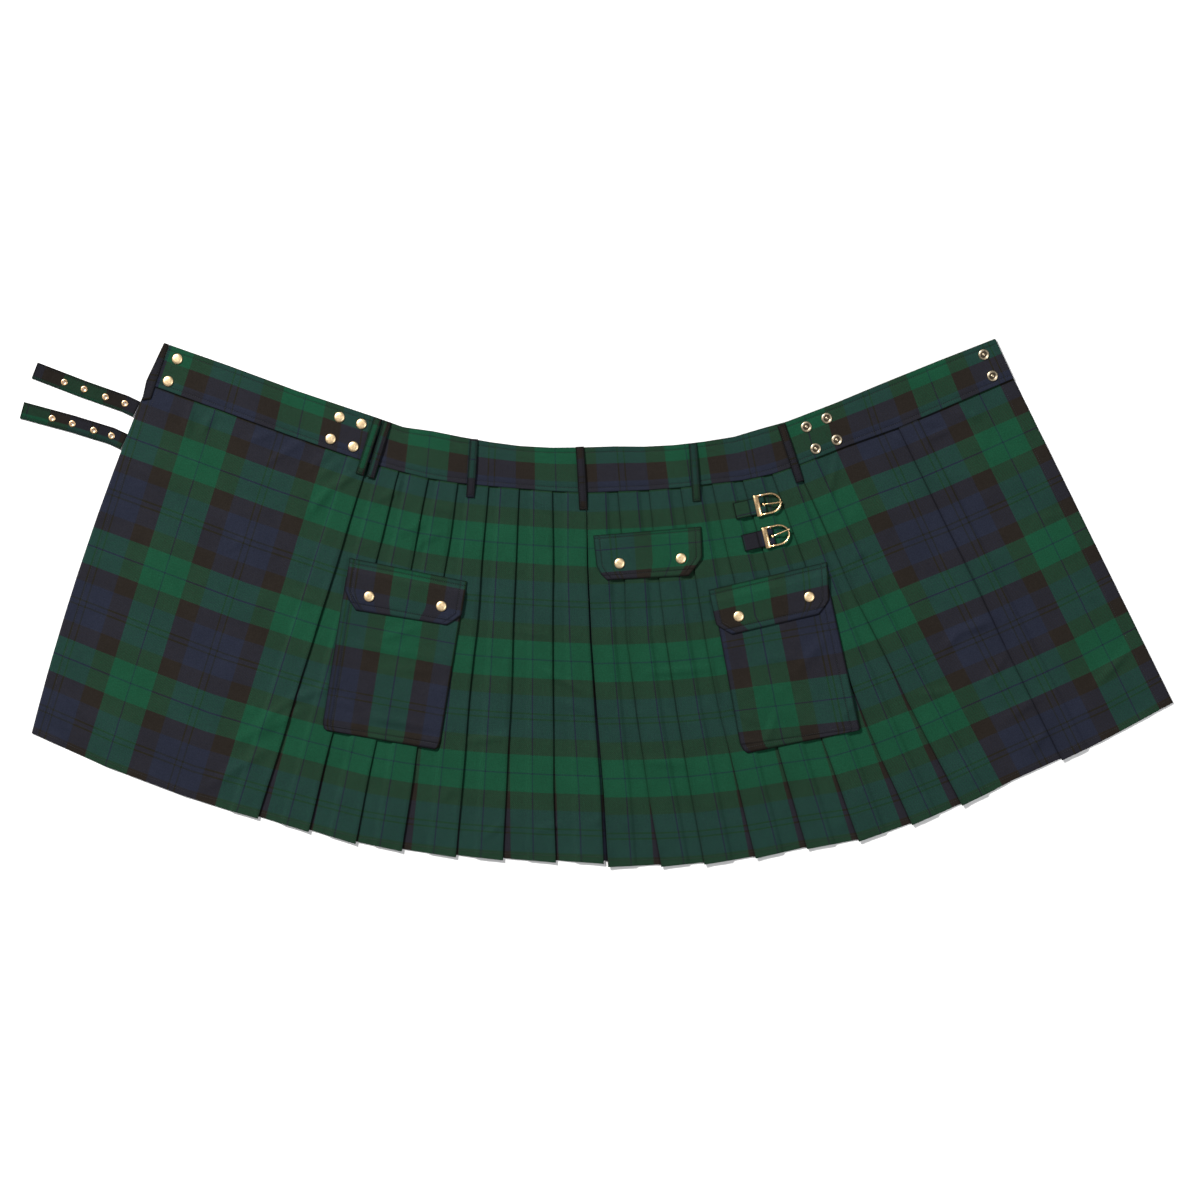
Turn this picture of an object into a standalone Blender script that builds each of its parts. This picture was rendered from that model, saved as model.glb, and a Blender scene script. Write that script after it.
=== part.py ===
"""Utility kilt laid out flat, outer face up: pleated skirt in two halves, band, loops, straps,
pockets, buckles and snaps. Metres, Z up; the tables below are in millimetres.
The waist runs along X, the hem is at the low Y side, the underside rests at Z = 0."""

import math

import bmesh
import bpy
from mathutils import Matrix, Vector

MM = 0.001
CENTRE_SHIFT = (0.3, -0.1)  # moves the middle of the laid-out kilt on to X = Y = 0

# cloth
CLOTH = 1.0            # one layer of cloth
LAYER_GAP = 0.3        # air between pressed layers
PITCH = CLOTH + LAYER_GAP
SEAM_GAP = 0.3         # between pieces that are sewn together
FOLD_REACH = CLOTH / 2 + PITCH / 2   # from the middle of a fold's bend to its outer edge
RAMP = 6.0             # length over which a panel climbs on to the folded layers
RETURN_FOLD = 3.2      # the hidden fold stays this far inside the climb
PLEAT_DEPTH_WAIST = 27.0
PLEAT_DEPTH_HEM = 38.0
CENTRE_TAIL = 4.9      # the left half's hidden layer reaches under the open middle fold at the hem
APRON_BOW = 10.3       # how far the left edge bows out half way down
STACK = CLOTH * 3 + LAYER_GAP * 2    # height of three pressed layers
BAND_THICK = 3.8
BAND_ROUND = 0.6
FACING_THICK = 1.4
LOOP_THICK = 1.2
LOOP_WIDTH = 12.0
STRAP_THICK = 1.6
STRAP_WIDTH = 25.0
POCKET_THICK = 2.2
FLAP_THICK = 1.6
EDGE_ROUND = 0.35
SKIRT_LENGTH = 540.0
SECTIONS_DOWN = (SEAM_GAP / SKIRT_LENGTH, 0.05, 0.15, 0.3, 0.5, 0.7, 0.85, 1.0)

# snaps and eyelets
CAP_RADIUS = 7.8
CAP_HEIGHT = 2.5
STUD_RADIUS = 8.0
EYELET_RADIUS = 5.0
EYELET_BORE = 2.25
EYELET_BARREL = 2.9
EYELET_HOLE = 3.2
EYELET_FLANGE = 0.8

# buckle, in its own frame: x along the strap from the plate bar's free edge, y across
PLATE_LENGTH = 7.5
PLATE_WIDTH = 31.0
PLATE_THICK = 1.6
PLATE_BASE = 6.5       # underside of the plate bar above the table
WIRE_RADIUS = 1.4
ARM_Y = 14.0
ARM_END = 24.0
FRAME_END = 38.0
WIRE_Z_PLATE = 7.3
WIRE_Z_END = 5.35
BAR_X = 13.0
BAR_Z = 6.5
BAR_RADIUS = 1.0
TAB_WIDTH = 24.4
TAB_LENGTH = 31.0
TAB_CLOTH = 1.0
SLOT_HALF = 2.6
SLOT_START = 8.3
PRONG_EYE_INNER = 1.35
PRONG_EYE_OUTER = 2.25
PRONG_WIDTH = 2.6
PRONG_RADIUS = 0.95
PRONG_END = 40.6

# one row per fold or edge line, from the outer edge to the middle:
# (top of band x, y, waist seam x, y, hem x, y, whether the cloth folds under at this line)
LEFT_LINES = (
    (-625.4, 376.6, -657.6, 319.4, -827.7, -192.2, False),
    (-542.1, 347.4, -560.5, 284.3, -720.7, -240.6, False),
    (-438.3, 309.1, -452.4, 244.8, -601.9, -285.3, False),
    (-324.7, 271.0, -334.7, 204.2, -495.2, -314.3, True),
    (-282.5, 256.0, -289.7, 191.9, -421.0, -333.7, True),
    (-239.9, 250.1, -246.3, 181.1, -352.3, -351.3, True),
    (-198.8, 241.8, -203.2, 174.3, -284.7, -362.2, True),
    (-155.8, 234.2, -158.0, 169.9, -205.7, -370.8, True),
    (-112.9, 228.5, -113.2, 166.1, -136.6, -375.4, True),
    (-66.3, 226.0, -64.8, 162.3, -57.5, -378.8, True),
    (-18.1, 226.4, -14.8, 160.2, 10.8, -380.4, True),
)
RIGHT_LINES = (
    (583.8, 385.6, 611.0, 327.5, 844.7, -147.5, False),
    (501.8, 353.6, 526.9, 291.6, 762.9, -192.2, False),
    (419.3, 320.3, 441.9, 255.2, 680.4, -229.3, True),
    (350.3, 291.6, 368.6, 229.4, 609.0, -261.5, False),
    (277.5, 263.8, 293.2, 199.7, 536.6, -294.4, True),
    (242.2, 254.2, 257.1, 187.5, 464.6, -322.7, True),
    (201.7, 242.0, 214.0, 178.3, 386.1, -347.3, True),
    (158.9, 235.0, 169.2, 173.3, 310.4, -358.6, True),
    (114.4, 229.8, 122.9, 167.7, 235.1, -372.1, True),
    (70.1, 227.5, 76.8, 164.0, 160.1, -381.3, True),
    (26.3, 227.9, 31.4, 162.1, 95.9, -384.7, True),
    (-17.9, 226.4, -14.4, 160.2, 16.4, -385.2, True),
)
BAND_LEFT_END = (-646.7, 315.6)

# facing down the left end of the band: outer x, y and inner x, y from the top down
FACING_ROWS = (
    (-633.5, 379.5, -626.4, 377.2),
    (-659.6, 323.8, -644.9, 321.6),
    (-666.0, 295.4, -653.2, 297.2),
)
# belt loops: top x, y and foot x, y on the centre line
BELT_LOOPS = (
    ("belt_loop_left_outer", -320.1, 268.6, -347.1, 186.4),
    ("belt_loop_left_inner", -306.1, 264.2, -331.5, 182.0),
    ("belt_loop_left", -179.4, 238.5, -185.0, 152.9),
    ("belt_loop_middle", -24.6, 227.2, -19.2, 135.0),
    ("belt_loop_right", 140.7, 232.5, 146.7, 147.0),
    ("belt_loop_far_right", 270.2, 259.5, 297.9, 175.9),
)
# straps: points along the centre line from the free end to the skirt's edge; the last is the seam
STRAPS = (
    ("strap_upper", ((-823.5, 339.4), (-751.0, 311.5), (-691.2, 290.5), (-674.2, 282.3))),
    ("strap_lower", ((-842.1, 281.0), (-768.3, 261.0), (-710.7, 243.3), (-692.6, 234.7))),
)
EYELETS = (
    ("eyelet_upper", ((-779.9, 321.8), (-750.9, 311.7), (-719.7, 300.2), (-691.2, 290.6))),
    ("eyelet_lower", ((-797.9, 268.9), (-768.3, 261.0), (-737.1, 251.4), (-710.7, 243.3))),
)
# pocket bags and flaps: left x, y, right x, y and rise above the sewn level, from the top down
POCKET_LEFT = (
    (-366.8, 36.1, -195.1, 2.2, 0.0),
    (-397.7, -159.2, -226.4, -190.4, 0.0),
    (-400.7, -177.5, -228.4, -203.9, 0.0),
    (-399.3, -185.2, -231.0, -212.0, 0.0),
    (-394.5, -188.4, -236.2, -216.1, 0.0),
)
POCKET_RIGHT = (
    (172.8, -4.5, 337.8, 32.1, 0.0),
    (207.0, -191.5, 382.5, -173.9, 0.0),
    (210.1, -207.6, 385.6, -184.9, 0.0),
    (213.6, -215.6, 384.5, -187.5, 0.0),
    (221.2, -221.5, 381.0, -188.2, 0.0),
)
FLAP_LEFT = (
    (-361.4, 64.4, -189.6, 29.9, 0.0),
    (-363.1, 52.6, -191.3, 18.2, 0.0),
    (-364.0, 46.8, -192.2, 12.3, 1.0),
    (-368.3, 17.4, -197.3, -19.2, 1.0),
    (-362.1, 2.8, -206.9, -26.5, 1.0),
    (-352.0, -12.3, -219.3, -33.9, 1.0),
)
FLAP_RIGHT = (
    (164.3, 17.2, 337.2, 58.3, 0.0),
    (166.1, 5.7, 337.9, 46.8, 0.0),
    (167.1, -0.1, 338.4, 40.9, 1.0),
    (175.0, -33.9, 340.1, 2.8, 1.0),
    (186.8, -41.2, 332.6, -8.2, 1.0),
    (198.5, -47.6, 324.6, -18.2, 1.0),
)
FLAP_BACK = (
    (-4.7, 97.0, 152.9, 110.0, 0.0),
    (-0.1, 52.6, 154.7, 65.1, 0.0),
    (6.3, 40.5, 145.6, 51.9, 0.0),
    (15.0, 32.0, 135.0, 38.1, 0.0),
)
# snaps: name, x, y
BAND_CAPS = (
    ("snap_cap_end_top", -614.0, 355.7),
    ("snap_cap_end_low", -627.4, 323.1),
    ("snap_cap_outer_top", -376.5, 270.5),
    ("snap_cap_inner_top", -344.4, 260.7),
    ("snap_cap_outer_low", -389.5, 238.7),
    ("snap_cap_inner_low", -356.2, 227.4),
)
FLAP_CAPS = (
    ("snap_cap_pocket_left_a", -332.8, 7.9, 1.0),
    ("snap_cap_pocket_left_b", -227.1, -6.3, 1.0),
    ("snap_cap_pocket_right_a", 207.9, -21.1, 1.0),
    ("snap_cap_pocket_right_b", 311.2, 7.3, 1.0),
    ("snap_cap_back_a", 33.6, 56.4, 0.0),
    ("snap_cap_back_b", 123.6, 63.6, 0.0),
)
BAND_STUDS = (
    ("snap_stud_inner_top", 307.1, 256.4),
    ("snap_stud_outer_top", 337.0, 268.9),
    ("snap_stud_inner_low", 320.9, 224.4),
    ("snap_stud_outer_low", 351.8, 237.2),
    ("snap_stud_end_top", 566.9, 362.1),
    ("snap_stud_end_low", 579.7, 330.9),
)
# buckles: name, middle of the plate bar's free edge x, y, tilt, sideways lean of the prong
BUCKLES = (
    ("upper", 232.0, 139.7, 13.0, -5.0),
    ("lower", 244.6, 93.1, 13.5, 9.0),
)

# finishes: name, colour, roughness, metallic
TARTAN = ("tartan cloth", (0.0165, 0.036, 0.029, 1.0), 0.9, 0.0)
DARK_TARTAN = ("dark tartan cloth", (0.017, 0.018, 0.019, 1.0), 0.9, 0.0)
GREEN_TARTAN = ("green tartan cloth", (0.0105, 0.062, 0.032, 1.0), 0.9, 0.0)
BRASS = ("pale brass", (0.62, 0.46, 0.24, 1.0), 0.3, 1.0)
ANTIQUE = ("antique brass", (0.24, 0.17, 0.10, 1.0), 0.38, 1.0)
COPPER = ("coppered brass", (0.45, 0.30, 0.18, 1.0), 0.32, 1.0)


def clear_objects():
    for item in list(bpy.data.objects):
        bpy.data.objects.remove(item, do_unlink=True)


def new_collection(name):
    group = bpy.data.collections.new(name)
    bpy.context.scene.collection.children.link(group)
    return group


def material_for(finish):
    name, colour, roughness, metallic = finish
    found = bpy.data.materials.get(name)
    if found:
        return found
    made = bpy.data.materials.new(name)
    made.use_nodes = True
    shader = made.node_tree.nodes["Principled BSDF"]
    shader.inputs["Base Color"].default_value = colour
    shader.inputs["Roughness"].default_value = roughness
    shader.inputs["Metallic"].default_value = metallic
    made.diffuse_color = colour
    return made


def mesh_object(group, name, mesh, finish, origin=(0.0, 0.0, 0.0), turn=0.0):
    """Object of a mesh in metres, placed at an origin in millimetres and turned about Z in degrees."""
    item = bpy.data.objects.new(name, mesh)
    item.location = (Vector(origin) + Vector((*CENTRE_SHIFT, 0.0))) * MM
    item.rotation_euler = (0.0, 0.0, math.radians(turn))
    item.data.materials.append(material_for(finish))
    group.objects.link(item)
    return item


def surface(name, grid):
    """Open surface through rows of points in millimetres."""
    work = bmesh.new()
    rows = [[work.verts.new(Vector(p) * MM) for p in row] for row in grid]
    for first, second in zip(rows, rows[1:]):
        for a, b, c, d in zip(first, second, second[1:], first[1:]):
            work.faces.new((a, b, c, d))
    mesh = bpy.data.meshes.new(name)
    work.to_mesh(mesh)
    work.free()
    return mesh


def thicken(item, thick):
    """Cloth wall of even thickness, half on each side of the surface."""
    wall = item.modifiers.new("cloth wall", "SOLIDIFY")
    wall.thickness = thick * MM
    wall.offset = 0.0
    wall.use_even_offset = True


def round_edges(item, width=EDGE_ROUND):
    bevel = item.modifiers.new("rounded edges", "BEVEL")
    bevel.limit_method = "ANGLE"
    bevel.angle_limit = math.radians(60)
    bevel.width = width * MM
    bevel.segments = 1


def combine(item, other, operation):
    step = item.modifiers.new(operation.lower() + " " + other.name, "BOOLEAN")
    step.operation = operation
    step.object = other
    step.solver = "EXACT"
    other.hide_render = True
    other.display_type = "WIRE"


def line_point(line, down):
    """Point of a fold line at a fraction of the way from the waist seam to the hem."""
    x = line[2] + (line[4] - line[2]) * down
    y = line[3] + (line[5] - line[3]) * down
    return x, y


def section_at(lines, down, bow):
    """Plan points of all the lines at one height, with the outer edge bowed out."""
    plan = [line_point(line, down) for line in lines]
    out = bow * 4.0 * down * (1.0 - down)
    plan[0] = (plan[0][0] + out, plan[0][1])
    return plan


def bend_points(centre, height, start):
    """Half turn of the cloth about a fold, on the right for start 90 and on the left for -90."""
    radius = PITCH / 2
    side = 1.0 if start > 0 else -1.0
    points = []
    for turn in (90, 30, -30, -90):
        a = math.radians(turn)
        points.append((centre + side * radius * math.cos(a), height + radius * math.sin(a)))
    return points


def pleat_profile(distances, folds, depth, tail):
    """Middle line of the cloth as (distance from the outer edge, height), following every pleat.
    The tail is how far the hidden layer runs on past the last fold."""
    low = CLOTH / 2
    mid = low + PITCH
    top = mid + PITCH
    line = [(0.0, low)]
    for distance, folded in zip(distances, folds):
        if folded:
            under = distance - depth
            line.append((under - RAMP, low))
            line.append((under, top))
            line += bend_points(distance - FOLD_REACH, (top + mid) / 2, 90)
            line += bend_points(under + RETURN_FOLD, (mid + low) / 2, -90)
        if 0.0 < distance < distances[-1]:
            line.append((distance, low))
    line.append((distances[-1] + tail, low))
    return line


def plan_position(distance, distances, plan):
    """Plan point at a distance along the section from the outer edge."""
    k = 0
    while k < len(distances) - 2 and distance > distances[k + 1]:
        k += 1
    share = (distance - distances[k]) / (distances[k + 1] - distances[k])
    x = plan[k][0] + (plan[k + 1][0] - plan[k][0]) * share
    y = plan[k][1] + (plan[k + 1][1] - plan[k][1]) * share
    return x, y


def skirt_half(group, name, lines, bow, tail):
    """Apron and knife pleats as one folded sheet, lofted from the waist section to the hem section."""
    grid = []
    folds = [line[6] for line in lines]
    for down in SECTIONS_DOWN:
        plan = section_at(lines, down, bow)
        distances = [0.0]
        for a, b in zip(plan, plan[1:]):
            distances.append(distances[-1] + math.hypot(b[0] - a[0], b[1] - a[1]))
        depth = PLEAT_DEPTH_WAIST + (PLEAT_DEPTH_HEM - PLEAT_DEPTH_WAIST) * down
        row = []
        for distance, height in pleat_profile(distances, folds, depth, tail * down):
            x, y = plan_position(distance, distances, plan)
            row.append((x, y, height))
        grid.append(row)
    if lines is RIGHT_LINES:
        grid.reverse()
    item = mesh_object(group, name, surface(name, grid), TARTAN)
    thicken(item, CLOTH)
    return item


def waistband(group):
    """One band over both halves; its foot follows the waist seam, its face stands over the pleats."""
    left = [line[:4] for line in LEFT_LINES]
    left[0] = (LEFT_LINES[0][0], LEFT_LINES[0][1], BAND_LEFT_END[0], BAND_LEFT_END[1])
    right = [line[:4] for line in RIGHT_LINES[-2::-1]]
    stations = left + right
    height = BAND_THICK / 2
    top = [(tx, ty, height) for tx, ty, sx, sy in stations]
    seam = [(sx, sy, height) for tx, ty, sx, sy in stations]
    item = mesh_object(group, "waistband", surface("waistband", [top, seam]), TARTAN)
    thicken(item, BAND_THICK)
    round_edges(item, BAND_ROUND)
    return item


def cut_piece(group, name, rows, base, thick, finish, rise=0.0, across=5):
    """Flat cut piece from rows of left and right points, lying at a base height."""
    grid = []
    for lx, ly, rx, ry, climb in rows:
        row = []
        for j in range(across):
            share = j / (across - 1)
            x = lx + (rx - lx) * share
            y = ly + (ry - ly) * share
            row.append((x, y, base + thick / 2 + rise * climb))
        grid.append(row)
    item = mesh_object(group, name, surface(name, grid), finish)
    thicken(item, thick)
    round_edges(item)
    return item


def ribbon(group, name, path, width, base, thick, finish):
    """Flat ribbon along a path in plan."""
    rows = []
    for k, here in enumerate(path):
        before = path[max(k - 1, 0)]
        after = path[min(k + 1, len(path) - 1)]
        run = Vector((after[0] - before[0], after[1] - before[1])).normalized()
        side = Vector((-run.y, run.x)) * (width / 2)
        rows.append((here[0] - side.x, here[1] - side.y, here[0] + side.x, here[1] + side.y, 0.0))
    return cut_piece(group, name, rows, base, thick, finish, across=2)


def turned(group, name, place, profile, finish, closed=False, steps=20):
    """Round piece: a profile of (radius, height), from the top down its outer side, turned about Z."""
    work = bmesh.new()
    dots = [work.verts.new((radius * MM, 0.0, height * MM)) for radius, height in profile]
    for a, b in zip(dots, dots[1:]):
        work.edges.new((a, b))
    if closed:
        work.edges.new((dots[-1], dots[0]))
    mesh = bpy.data.meshes.new(name)
    work.to_mesh(mesh)
    work.free()
    item = mesh_object(group, name, mesh, finish, origin=place)
    screw = item.modifiers.new("turned", "SCREW")
    screw.axis = "Z"
    screw.angle = 2.0 * math.pi
    screw.steps = steps
    screw.render_steps = steps
    screw.use_merge_vertices = True
    screw.merge_threshold = 0.00001
    screw.use_smooth_shade = True
    return item


def snap_cap(group, name, x, y, base):
    profile = ((0.0, CAP_HEIGHT), (5.2, 2.1), (7.3, 1.4), (CAP_RADIUS, 0.5), (6.6, 0.0), (0.0, 0.0))
    return turned(group, name, (x, y, base), profile, BRASS)


def snap_stud(group, name, x, y, base):
    profile = ((0.0, 2.5), (2.3, 2.2), (2.6, 0.7), (4.4, 0.7), (5.6, 1.7), (7.4, 1.5),
               (STUD_RADIUS, 0.6), (7.0, 0.0), (0.0, 0.0))
    return turned(group, name, (x, y, base), profile, ANTIQUE)


def eyelet(group, name, x, y):
    top = STRAP_THICK + SEAM_GAP
    profile = ((3.0, top + EYELET_FLANGE), (4.4, top + EYELET_FLANGE), (EYELET_RADIUS, top + 0.15),
               (4.7, top), (EYELET_BARREL, top), (EYELET_BARREL, 0.1), (EYELET_BORE, 0.1),
               (EYELET_BORE, top + 0.4))
    return turned(group, name, (x, y, 0.0), profile, COPPER, closed=True, steps=16)


def cylinder(group, name, place, radius, length, turn=0.0, along="Z", sides=16):
    """Round bar centred on a place, along the Z axis or along the Y axis of a turned frame."""
    work = bmesh.new()
    bmesh.ops.create_cone(work, cap_ends=True, segments=sides, radius1=radius * MM,
                          radius2=radius * MM, depth=length * MM)
    if along == "Y":
        bmesh.ops.rotate(work, verts=work.verts, cent=(0.0, 0.0, 0.0),
                         matrix=Matrix.Rotation(math.radians(90), 3, "X"))
    mesh = bpy.data.meshes.new(name)
    work.to_mesh(mesh)
    work.free()
    return mesh_object(group, name, mesh, BRASS, origin=place, turn=turn)


def block(group, name, place, size, turn, finish=BRASS):
    """Box centred on a place, its sides along a frame turned about Z."""
    work = bmesh.new()
    bmesh.ops.create_cube(work, size=1.0)
    bmesh.ops.scale(work, vec=Vector(size) * MM, verts=work.verts)
    mesh = bpy.data.meshes.new(name)
    work.to_mesh(mesh)
    work.free()
    return mesh_object(group, name, mesh, finish, origin=place, turn=turn)


def wire(group, name, path, radius, place, turn):
    """Round wire along a path of points in a turned frame, as a closed mesh."""
    curve = bpy.data.curves.new(name, "CURVE")
    curve.dimensions = "3D"
    curve.bevel_depth = radius * MM
    curve.bevel_resolution = 2
    curve.use_fill_caps = True
    spline = curve.splines.new("POLY")
    spline.points.add(len(path) - 1)
    for point, spot in zip(spline.points, path):
        point.co = (spot[0] * MM, spot[1] * MM, spot[2] * MM, 1.0)
    guide = bpy.data.objects.new(name + "_path", curve)
    group.objects.link(guide)
    bpy.context.view_layer.update()
    seen = guide.evaluated_get(bpy.context.evaluated_depsgraph_get())
    mesh = bpy.data.meshes.new_from_object(seen)
    bpy.data.objects.remove(guide, do_unlink=True)
    work = bmesh.new()
    work.from_mesh(mesh)
    bmesh.ops.remove_doubles(work, verts=work.verts, dist=0.00001)
    work.to_mesh(mesh)
    work.free()
    mesh.materials.clear()
    return mesh_object(group, name, mesh, BRASS, origin=place, turn=turn)


def wire_height(x):
    """Height of the D wire's middle at a distance from the plate bar's free edge."""
    return WIRE_Z_PLATE + (WIRE_Z_END - WIRE_Z_PLATE) * x / FRAME_END


def frame_point(buckle, x, y, z):
    """Garment point of a point in a buckle's own frame."""
    a = math.radians(buckle[3])
    return (buckle[1] + x * math.cos(a) - y * math.sin(a), buckle[2] + x * math.sin(a) + y * math.cos(a), z)


def buckle_frame(group, cutters, buckle):
    """Plate bar with a D wire and a centre bar joined to it."""
    name, px, py, turn, lean = buckle
    middle = frame_point(buckle, PLATE_LENGTH / 2, 0.0, PLATE_BASE + PLATE_THICK / 2)
    frame = block(group, "buckle_frame_" + name, middle, (PLATE_LENGTH, PLATE_WIDTH, PLATE_THICK), turn)
    round_edges(frame, 0.4)
    arc = ARM_END - 2.0
    path = [(PLATE_LENGTH / 2, ARM_Y, wire_height(PLATE_LENGTH / 2)), (arc, ARM_Y, wire_height(arc))]
    for step in range(75, -90, -15):
        a = math.radians(step)
        x = arc + (FRAME_END - arc) * math.cos(a)
        path.append((x, ARM_Y * math.sin(a), wire_height(x)))
    path.append((arc, -ARM_Y, wire_height(arc)))
    path.append((PLATE_LENGTH / 2, -ARM_Y, wire_height(PLATE_LENGTH / 2)))
    loop = wire(cutters, "d_wire_" + name, path, WIRE_RADIUS, (px, py, 0.0), turn)
    centre = frame_point(buckle, BAR_X, 0.0, BAR_Z)
    bar = cylinder(cutters, "centre_bar_" + name, centre, BAR_RADIUS, 2 * ARM_Y, turn, "Y", 12)
    combine(frame, loop, "UNION")
    combine(frame, bar, "UNION")
    return frame


def buckle_tab(group, cutters, buckle, finish):
    """Strip of cloth doubled round the centre bar, with a slot for the prong's eye."""
    name, px, py, turn, lean = buckle
    low = STACK + SEAM_GAP + TAB_CLOTH / 2
    high = low + TAB_CLOTH + SEAM_GAP
    wrap = BAR_RADIUS + 0.3 + TAB_CLOTH / 2
    line = [(-TAB_LENGTH, low), (BAR_X - 4.0, low)]
    for step in (-75, -40, 0, 40, 75, 105):
        a = math.radians(step)
        line.append((BAR_X + wrap * math.cos(a), max(BAR_Z + wrap * math.sin(a), low)))
    line.append((BAR_X - 5.2, high))
    line.append((-TAB_LENGTH, high))
    half = TAB_WIDTH / 2
    grid = [[(x, y, z) for x, z in line] for y in (half, -half)]
    mesh = surface("buckle_tab_" + name, grid)
    tab = mesh_object(group, "buckle_tab_" + name, mesh, finish, origin=(px, py, 0.0), turn=turn)
    thicken(tab, TAB_CLOTH)
    middle = frame_point(buckle, (SLOT_START + 18.0) / 2, 0.0, 6.5)
    slot = block(cutters, "slot_" + name, middle, (18.0 - SLOT_START, 2 * SLOT_HALF, 9.0), turn)
    combine(tab, slot, "DIFFERENCE")
    return tab


def prong(group, cutters, buckle):
    """Eye round the centre bar and an arm that rests on the D wire; its origin is on the bar's axis."""
    name, px, py, turn, lean = buckle
    centre = frame_point(buckle, BAR_X, 0.0, BAR_Z)
    eye = cylinder(group, "prong_" + name, centre, PRONG_EYE_OUTER, PRONG_WIDTH, turn, "Y", 16)
    slope = math.tan(math.radians(lean))
    rest = wire_height(FRAME_END) + WIRE_RADIUS + SEAM_GAP + PRONG_RADIUS - BAR_Z
    start = (PRONG_EYE_INNER + PRONG_EYE_OUTER) / 2
    path = [(start, 0.0, 0.3), (start + 4.5, 4.5 * slope, rest - 0.1)]
    for x in (FRAME_END - 12.0, FRAME_END, PRONG_END):
        reach = x - BAR_X
        path.append((reach, reach * slope, rest - (0.2 if x == PRONG_END else 0.0)))
    arm = wire(cutters, "prong_arm_" + name, path, PRONG_RADIUS, centre, turn)
    bore = cylinder(cutters, "prong_bore_" + name, centre, PRONG_EYE_INNER, 8.0, turn, "Y", 16)
    combine(eye, arm, "UNION")
    combine(eye, bore, "DIFFERENCE")
    return eye


def eyelet_holes(cutters, name, spots):
    """Round punches through a strap, as one cutter."""
    work = bmesh.new()
    for x, y in spots:
        bmesh.ops.create_cone(work, cap_ends=True, segments=16, radius1=EYELET_HOLE * MM,
                              radius2=EYELET_HOLE * MM, depth=12.0 * MM,
                              matrix=Matrix.Translation((x * MM, y * MM, 0.0)))
    mesh = bpy.data.meshes.new(name)
    work.to_mesh(mesh)
    work.free()
    return mesh_object(cutters, name, mesh, BRASS)


def build():
    clear_objects()
    kilt = new_collection("utility_kilt")
    cutters = new_collection("cutters")
    cutters.hide_render = True
    skirt_half(kilt, "skirt_left", LEFT_LINES, -APRON_BOW, CENTRE_TAIL)
    skirt_half(kilt, "skirt_right", RIGHT_LINES, 0.0, 0.0)
    waistband(kilt)
    facing_rows = [(a, b, c, d, 0.0) for a, b, c, d in FACING_ROWS]
    cut_piece(kilt, "band_end_facing", facing_rows, CLOTH + SEAM_GAP, FACING_THICK, DARK_TARTAN, across=2)
    loop_base = BAND_THICK + SEAM_GAP
    for name, tx, ty, fx, fy in BELT_LOOPS:
        ribbon(kilt, name, ((tx, ty), (fx, fy)), LOOP_WIDTH, loop_base, LOOP_THICK, DARK_TARTAN)
    for (name, path), (rings, spots) in zip(STRAPS, EYELETS):
        strap = ribbon(kilt, name, path, STRAP_WIDTH, 0.0, STRAP_THICK, DARK_TARTAN)
        combine(strap, eyelet_holes(cutters, name + "_holes", spots), "DIFFERENCE")
        for k, (x, y) in enumerate(spots):
            eyelet(kilt, rings + "_" + str(k + 1), x, y)
    base = STACK + SEAM_GAP
    flap_rise = POCKET_THICK + SEAM_GAP
    cut_piece(kilt, "pocket_left", POCKET_LEFT, base, POCKET_THICK, TARTAN)
    cut_piece(kilt, "pocket_right", POCKET_RIGHT, base, POCKET_THICK, TARTAN)
    cut_piece(kilt, "pocket_flap_left", FLAP_LEFT, base, FLAP_THICK, TARTAN, rise=flap_rise)
    cut_piece(kilt, "pocket_flap_right", FLAP_RIGHT, base, FLAP_THICK, TARTAN, rise=flap_rise)
    cut_piece(kilt, "pocket_flap_back", FLAP_BACK, base, FLAP_THICK, TARTAN)
    for name, x, y in BAND_CAPS:
        snap_cap(kilt, name, x, y, loop_base)
    for name, x, y, climb in FLAP_CAPS:
        snap_cap(kilt, name, x, y, base + FLAP_THICK + SEAM_GAP + flap_rise * climb)
    for name, x, y in BAND_STUDS:
        snap_stud(kilt, name, x, y, loop_base)
    for buckle in BUCKLES:
        finish = GREEN_TARTAN if buckle[0] == "upper" else DARK_TARTAN
        buckle_tab(kilt, cutters, buckle, finish)
        buckle_frame(kilt, cutters, buckle)
        prong(kilt, cutters, buckle)


build()
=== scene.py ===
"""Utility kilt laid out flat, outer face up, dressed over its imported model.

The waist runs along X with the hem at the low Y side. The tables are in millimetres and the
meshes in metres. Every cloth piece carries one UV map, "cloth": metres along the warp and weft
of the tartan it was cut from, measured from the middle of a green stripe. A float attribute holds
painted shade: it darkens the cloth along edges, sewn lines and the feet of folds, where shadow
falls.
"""

import logging
import math
from dataclasses import dataclass, field
from enum import Enum
from typing import Callable, Iterable, Sequence

import bmesh
import bpy
import numpy as np
from mathutils import Matrix, Vector, noise
from mathutils.bvhtree import BVHTree


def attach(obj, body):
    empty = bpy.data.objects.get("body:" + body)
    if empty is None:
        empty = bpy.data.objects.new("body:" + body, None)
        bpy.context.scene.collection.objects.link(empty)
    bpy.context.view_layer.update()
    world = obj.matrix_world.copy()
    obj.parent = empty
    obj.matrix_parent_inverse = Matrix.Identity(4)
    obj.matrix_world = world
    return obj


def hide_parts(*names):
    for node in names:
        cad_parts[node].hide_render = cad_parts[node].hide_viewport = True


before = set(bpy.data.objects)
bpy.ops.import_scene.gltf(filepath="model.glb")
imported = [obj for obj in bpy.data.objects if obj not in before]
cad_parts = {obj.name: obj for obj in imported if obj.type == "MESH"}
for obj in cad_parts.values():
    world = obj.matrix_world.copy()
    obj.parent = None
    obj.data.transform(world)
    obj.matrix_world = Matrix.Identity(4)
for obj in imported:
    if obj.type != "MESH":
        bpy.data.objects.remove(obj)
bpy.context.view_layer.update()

log = logging.getLogger("kilt")

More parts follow.
